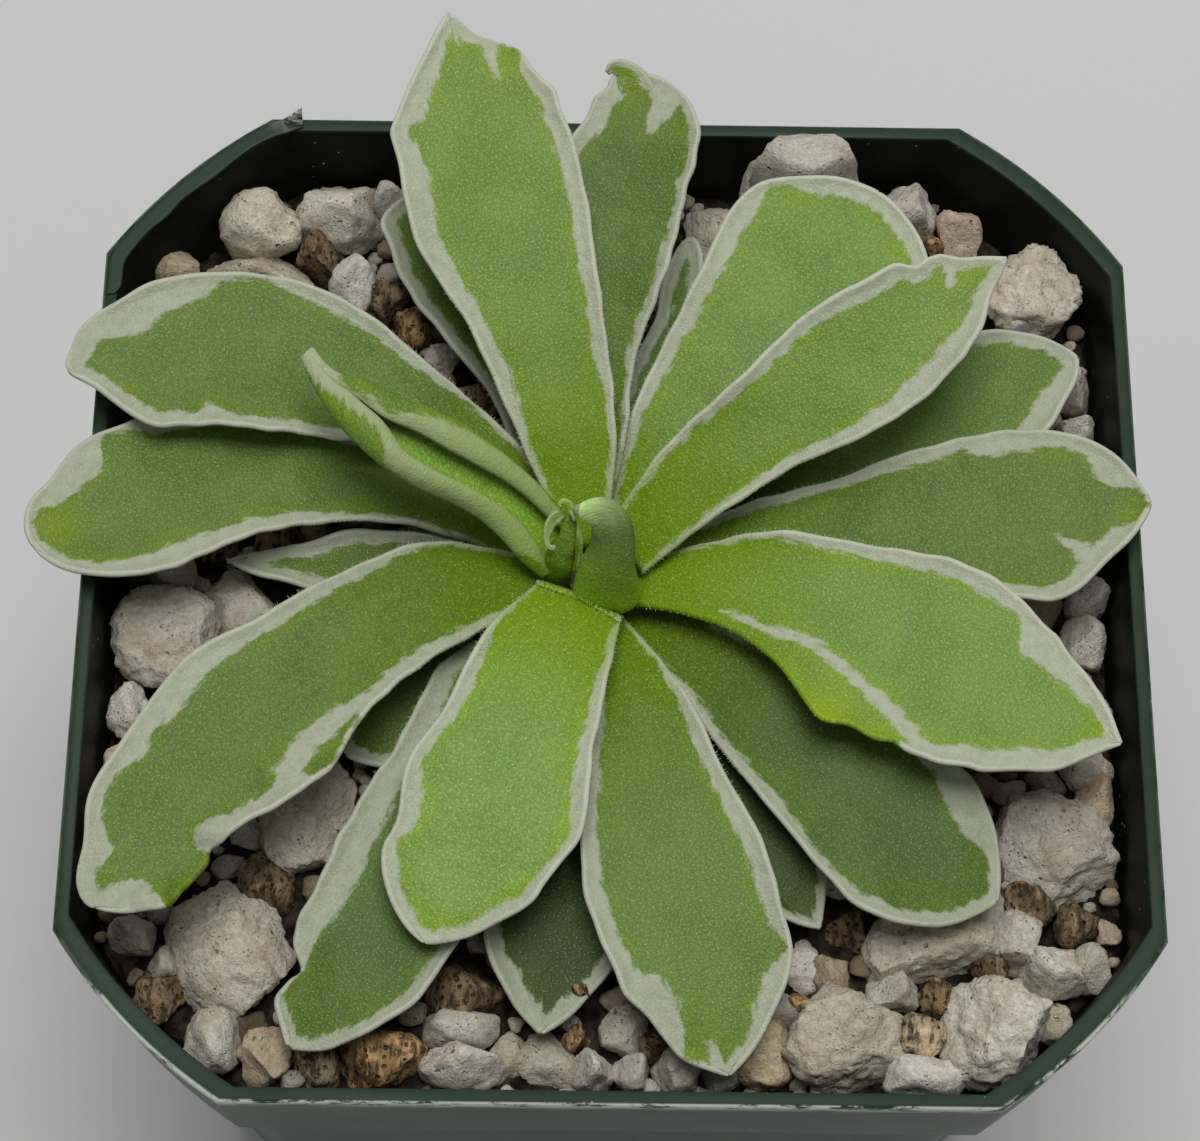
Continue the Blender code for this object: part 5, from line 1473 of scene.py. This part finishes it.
def free_height(x, y, width, depth):
    """How high a stone may rise without touching a leaf."""
    across = (UNDERSIDES[:, 0] - x) / (width / 2 + STONE_CLEAR)
    through = (UNDERSIDES[:, 1] - y) / (depth / 2 + STONE_CLEAR)
    near = across**2 + through**2 < 1.0
    return UNDERSIDES[near, 2].min() - STONE_CLEAR if near.any() else math.inf


def room_inside(x, y, height, margin):
    half = width_at(height) / 2.0 - WALL - margin
    return max(abs(x), abs(y)) < half and abs(x) + abs(y) < 2 * half - CORNER_CUT + WALL


def stone_places():
    """The CAD's stones: the listed ones, each sunk into the filling, and seeded ones between."""
    draw = random.Random(STONE_SEED)
    placed = []
    for x, y, width, depth, top, colour in STONES:
        top = min(POT_HEIGHT + top, free_height(x, y, width, depth))
        height = max(0.42 * (width + depth), top - FILL_TOP + STONE_SINK)
        placed.append((x, y, top, width, depth, height, colour))
    for _ in range(FILLER_TRIES):
        size = draw.uniform(*FILLER_SIZES)
        x, y = draw.uniform(-STONE_SPREAD, STONE_SPREAD), draw.uniform(-STONE_SPREAD, STONE_SPREAD)
        depth = size * draw.uniform(*FILLER_DEPTHS)
        if not room_inside(x, y, FILL_TOP, 0.45 * size) or from_crown(x, y) < HIDDEN_RADIUS:
            continue
        spacing = [math.hypot(x - row[0], y - row[1]) / (size + (row[3] + row[4]) / 2) for row in placed]
        if min(spacing) < FILLER_SPACING:
            continue
        uneven = draw.uniform(-FILLER_UNEVEN, FILLER_UNEVEN)
        top = min(FILLER_TOP + uneven, free_height(x, y, size, depth))
        if top > FILL_TOP + 0.5:
            placed.append((x, y, top, size, depth, max(0.8 * size, top - FILL_TOP + STONE_SINK), ""))
    return placed


PLACES = stone_places()


def add_bodies(name, members, finish):
    """Stones in one piece; a member is its points, its faces and its colour."""
    starts = np.cumsum([0] + [len(points) for points, _, _ in members])
    faces = np.concatenate([sides + start for (_, sides, _), start in zip(members, starts)])
    colours = np.concatenate([np.tile(own, (len(points), 1)) for points, _, own in members])
    points = np.concatenate([points for points, _, _ in members])
    place(name, points, faces.tolist(), finish, {"stone_colour": colours}, ("pumice_mix",))


def ball(divisions):
    """Points and faces of a finely divided ball of radius 1."""
    shape = bmesh.new()
    bmesh.ops.create_icosphere(shape, subdivisions=divisions, radius=1.0)
    points = np.array([vertex.co for vertex in shape.verts])
    faces = np.array([[vertex.index for vertex in face.verts] for face in shape.faces])
    shape.free()
    return points, faces


BALLS = {divisions: ball(divisions) for divisions in (2, 3, 4, 5)}


# The unevenness of a stone: strength and how fast it changes, in millimetres
ROUGHNESS = ((0.5, 0.9), (0.35, 2.1), (0.25, 4.6), (0.16, 9.0))


def random_way(draw, spread=1.0):
    return np.array([draw.gauss(0.0, spread) for _ in range(3)])


def rock(draw, size, divisions):
    """A broken, worn stone that fills the given width, depth and height, in millimetres."""
    points, faces = BALLS[divisions]
    points = np.sign(points) * np.abs(points) ** 0.92
    for _ in range(draw.randint(6, 11)):
        normal = random_way(draw)
        normal /= np.linalg.norm(normal)
        over = points @ normal - draw.uniform(0.58, 0.9)
        points -= np.outer(np.where(over > 0, over, 0.0) * draw.uniform(0.8, 1.0), normal)
    for _ in range(7):
        wave = random_way(draw, 2.2)
        points *= 1.0 + 0.02 * np.sin(points @ wave + draw.uniform(0.0, 6.3))[:, None]
    low, high = points.min(axis=0), points.max(axis=0)
    points = (points - (low + high) / 2.0) / (high - low) * np.array(size)
    seed = Vector((draw.uniform(0, 90), draw.uniform(0, 90), draw.uniform(0, 90)))
    rough = np.array([
        sum(strength * noise.noise(Vector(point) * pace + seed) for strength, pace in ROUGHNESS)
        for point in points.tolist()
    ])
    out = points / np.linalg.norm(points, axis=1)[:, None]
    scale = min(size)
    points += out * (rough * (0.14 + 0.07 * scale) - 0.022 * scale)[:, None]
    for _ in range(int(scale * 2.4)):
        centre = random_way(draw)
        centre /= np.linalg.norm(centre)
        gap = np.linalg.norm(out - centre, axis=1) * scale / 2.0
        radius = draw.uniform(0.14, 0.44)
        points -= out * (draw.uniform(0.07, 0.2) * bell(gap, radius))[:, None]
    return points, faces


def add_stones(finish, crust_finish):
    """All stones, in one piece for each colour family."""
    draw = random.Random(STONE_LOOK_SEED)
    families = {}
    for x, y, top, width, depth, height, colour in (*PLACES, TALL_STONE, LEAF_CRUMB):
        listed = bool(colour)
        divisions, wide = 3, 1.0
        if listed:
            divisions = 5 if width + depth > STONE_FINE_FROM else 4
            wide = STONE_GROWN
        else:
            colour = draw.choice(FILLER_COLOURS)
        if (x, y) == RAISED_STONE[:2]:
            top = RAISED_STONE[2]
        points, faces = rock(draw, (width * wide, depth * wide, height), divisions)
        points = points + np.array((x, y, top - height / 2.0))
        limit = RIM_WIDTH / 2.0 - WALL - STONE_WALL_GAP
        limit = limit - TAPER * np.maximum(POT_HEIGHT - points[:, 2], 0.0)
        limit = np.where(points[:, 2] < POT_HEIGHT - COLLAR_HEIGHT + WALL, limit - COLLAR_STEP, limit)
        points[:, :2] = np.clip(points[:, :2], -limit[:, None], limit[:, None])
        own = np.array(STONE_COLOURS[colour]) * draw.uniform(0.85, 1.1)
        own = own * np.array((1.0, draw.uniform(0.98, 1.02), draw.uniform(0.9, 1.0)))
        group = "dark" if colour in CRUSTED else "pale" if listed else "filler"
        families.setdefault(group, []).append((points, faces, own))
    for group, members in families.items():
        add_bodies(f"stones_{group}", members, crust_finish if group == "dark" else finish)


def bed_height(x, y):
    """The top of the filling: higher away from the crown, and uneven."""
    far = float(ease((from_crown(x, y) - 14.0) / 9.0))
    slow = noise.noise(Vector((x * 0.9, y * 0.9, 3.0)))
    quick = noise.noise(Vector((x * 2.6, y * 2.6, 8.0)))
    return FILL_TOP - 0.3 + BED_RISE * far + 0.5 * (slow + 0.6 * quick)


def add_bed(finish):
    """The filling under the stones, with an uneven top."""
    collar = POT_HEIGHT - COLLAR_HEIGHT
    shelf = collar + WALL + FIT
    levels = (
        (width_at(FLOOR), FLOOR + FIT), (width_at(collar - 1.0), collar - FIT),
        (width_at(collar - 1.0), shelf - 0.02), (width_at(shelf) + FIT, shelf),
        (width_at(shelf + 0.6) + FIT, FILL_TOP + BED_RISE - 0.6),
    )
    gap = 2.0 * WALL + 2.0 * FIT
    rings = [np.array(outline(width - gap, height)) for width, height in levels]
    brim = rings[-1]
    for share in np.linspace(0.985, 0.02, 40):
        ring = brim.copy()
        ring[:, :2] *= share
        ring[:, 2] = [bed_height(x, y) for x, y, _ in ring]
        rings.append(ring)
    place("potting_bed", np.concatenate(rings), rings_faces(len(rings), len(brim)), finish, None,
          ("pumice_mix",))


def add_grit(finish):
    """The small stones on the filling, clear of each other, of the larger stones and of the leaves."""
    draw = random.Random(GRIT_SEED)
    members = []
    taken = [(row[0], row[1], 0.5 * max(row[3], row[4])) for row in PLACES]
    for _ in range(GRIT_TRIES):
        x, y = draw.uniform(-GRIT_SPREAD, GRIT_SPREAD), draw.uniform(-GRIT_SPREAD, GRIT_SPREAD)
        size = draw.choice((draw.uniform(0.9, 1.6), draw.uniform(1.5, 3.0), draw.uniform(2.6, 4.6)))
        if not room_inside(x, y, FILL_TOP + 2.0, 0.52 * size) or from_crown(x, y) < GRIT_HIDDEN_RADIUS:
            continue
        if min(math.hypot(x - a, y - b) - r for a, b, r in taken) < GRIT_CLEAR * size:
            continue
        top = bed_height(x, y) + 0.5 * size + draw.uniform(0.0, 0.5)
        if top > free_height(x, y, size, size):
            continue
        taken.append((x, y, 0.5 * size))
        wide = size * draw.uniform(0.7, 1.1)
        points, faces = rock(draw, (size, wide, size * 0.8), 3 if size > GRIT_FINE_FROM else 2)
        points = points + np.array((x, y, top - 0.4 * size))
        own = np.array(STONE_COLOURS[draw.choice(GRIT_COLOURS)])
        members.append((points, faces, own * draw.uniform(0.6, 0.95)))
    add_bodies("small_grit", members, finish)


# Camera, light and floor


# Lens and sensor in millimetres, place in millimetres, turn in degrees
CAMERA_LENS = 94.1
CAMERA_SENSOR = 36.0
CAMERA_PLACE = (-3.08, -88.13, 275.67)
CAMERA_TURN = (23.381, -0.773, 0.428)

FLOOR_HALF = 4000.0
LAMP_AIM = (0.0, 0.0, 0.06)
# Name, place in metres, size in metres, watts and colour
LAMPS = (
    ("softbox_top", (0.015, 0.1, 0.85), 0.42, 4.7, (1.0, 0.995, 0.98)),
    ("softbox_back", (0.1, 0.6, 0.6), 0.6, 0.86, (0.98, 0.99, 1.0)),
)
SKY_COLOUR = (0.97, 0.98, 0.98, 1.0)
SKY_STRENGTH = 0.22


def add_stage():
    """The camera, the pale floor just under the pot, two soft lamps and an even sky."""
    from_above = bpy.data.cameras.new("camera")
    from_above.lens = CAMERA_LENS
    from_above.sensor_width = CAMERA_SENSOR
    from_above.sensor_fit = "HORIZONTAL"
    camera = add_object("camera", from_above)
    camera.location = [value * MM for value in CAMERA_PLACE]
    camera.rotation_euler = [math.radians(angle) for angle in CAMERA_TURN]
    bpy.context.scene.camera = camera

    paint, _, shade = two_tone("floor_pale", tint(204, 205, 205), tint(207, 208, 207), 3.0, 2.0, 0.3, 0.7,
                               Roughness=0.8)
    corners = [(x * FLOOR_HALF, y * FLOOR_HALF, 0) for x, y in ((-1, -1), (1, -1), (1, 1), (-1, 1))]
    mesh = plain_mesh("floor", corners, [(0, 1, 2, 3)])
    mesh.materials.append(paint.finish(shade))
    floor = add_object("floor", mesh)
    floor.location.z = -0.1 * MM

    for name, location, size, power, colour in LAMPS:
        lamp = bpy.data.lights.new(name, "AREA")
        lamp.shape = "SQUARE"
        lamp.size = size
        lamp.energy = power
        lamp.color = colour
        holder = add_object(name, lamp)
        holder.location = location
        aim = Vector(LAMP_AIM) - Vector(location)
        holder.rotation_euler = aim.to_track_quat("-Z", "Y").to_euler()

    world = bpy.data.worlds.new("studio")
    world.use_nodes = True
    sky = world.node_tree.nodes["Background"].inputs
    sky["Color"].default_value = SKY_COLOUR
    sky["Strength"].default_value = SKY_STRENGTH
    bpy.context.scene.world = world
    bpy.context.scene.view_settings.view_transform = "Standard"


add_stage()
LEAF_SKIN = leaf_paint()
for place_in_list, one_leaf in enumerate(LEAVES):
    if one_leaf.name in LOOKS:
        add_leaf(one_leaf, LOOKS[one_leaf.name], place_in_list, LEAF_SKIN)
add_hook(LEAF_SKIN)
add_young_leaf(LEAF_SKIN)
add_centre(LEAF_SKIN)
add_glands(gland_paint())
add_hairs(hair_paint())
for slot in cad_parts["crown_and_roots"].material_slots:
    slot.material = crown_paint()
POT_SKIN = pot_paint()
add_pot(POT_SKIN)
add_rim_film(POT_SKIN)
STONE_SKIN = stone_paint()
add_stones(STONE_SKIN, crust_paint())
add_bed(soil_paint())
add_grit(STONE_SKIN)
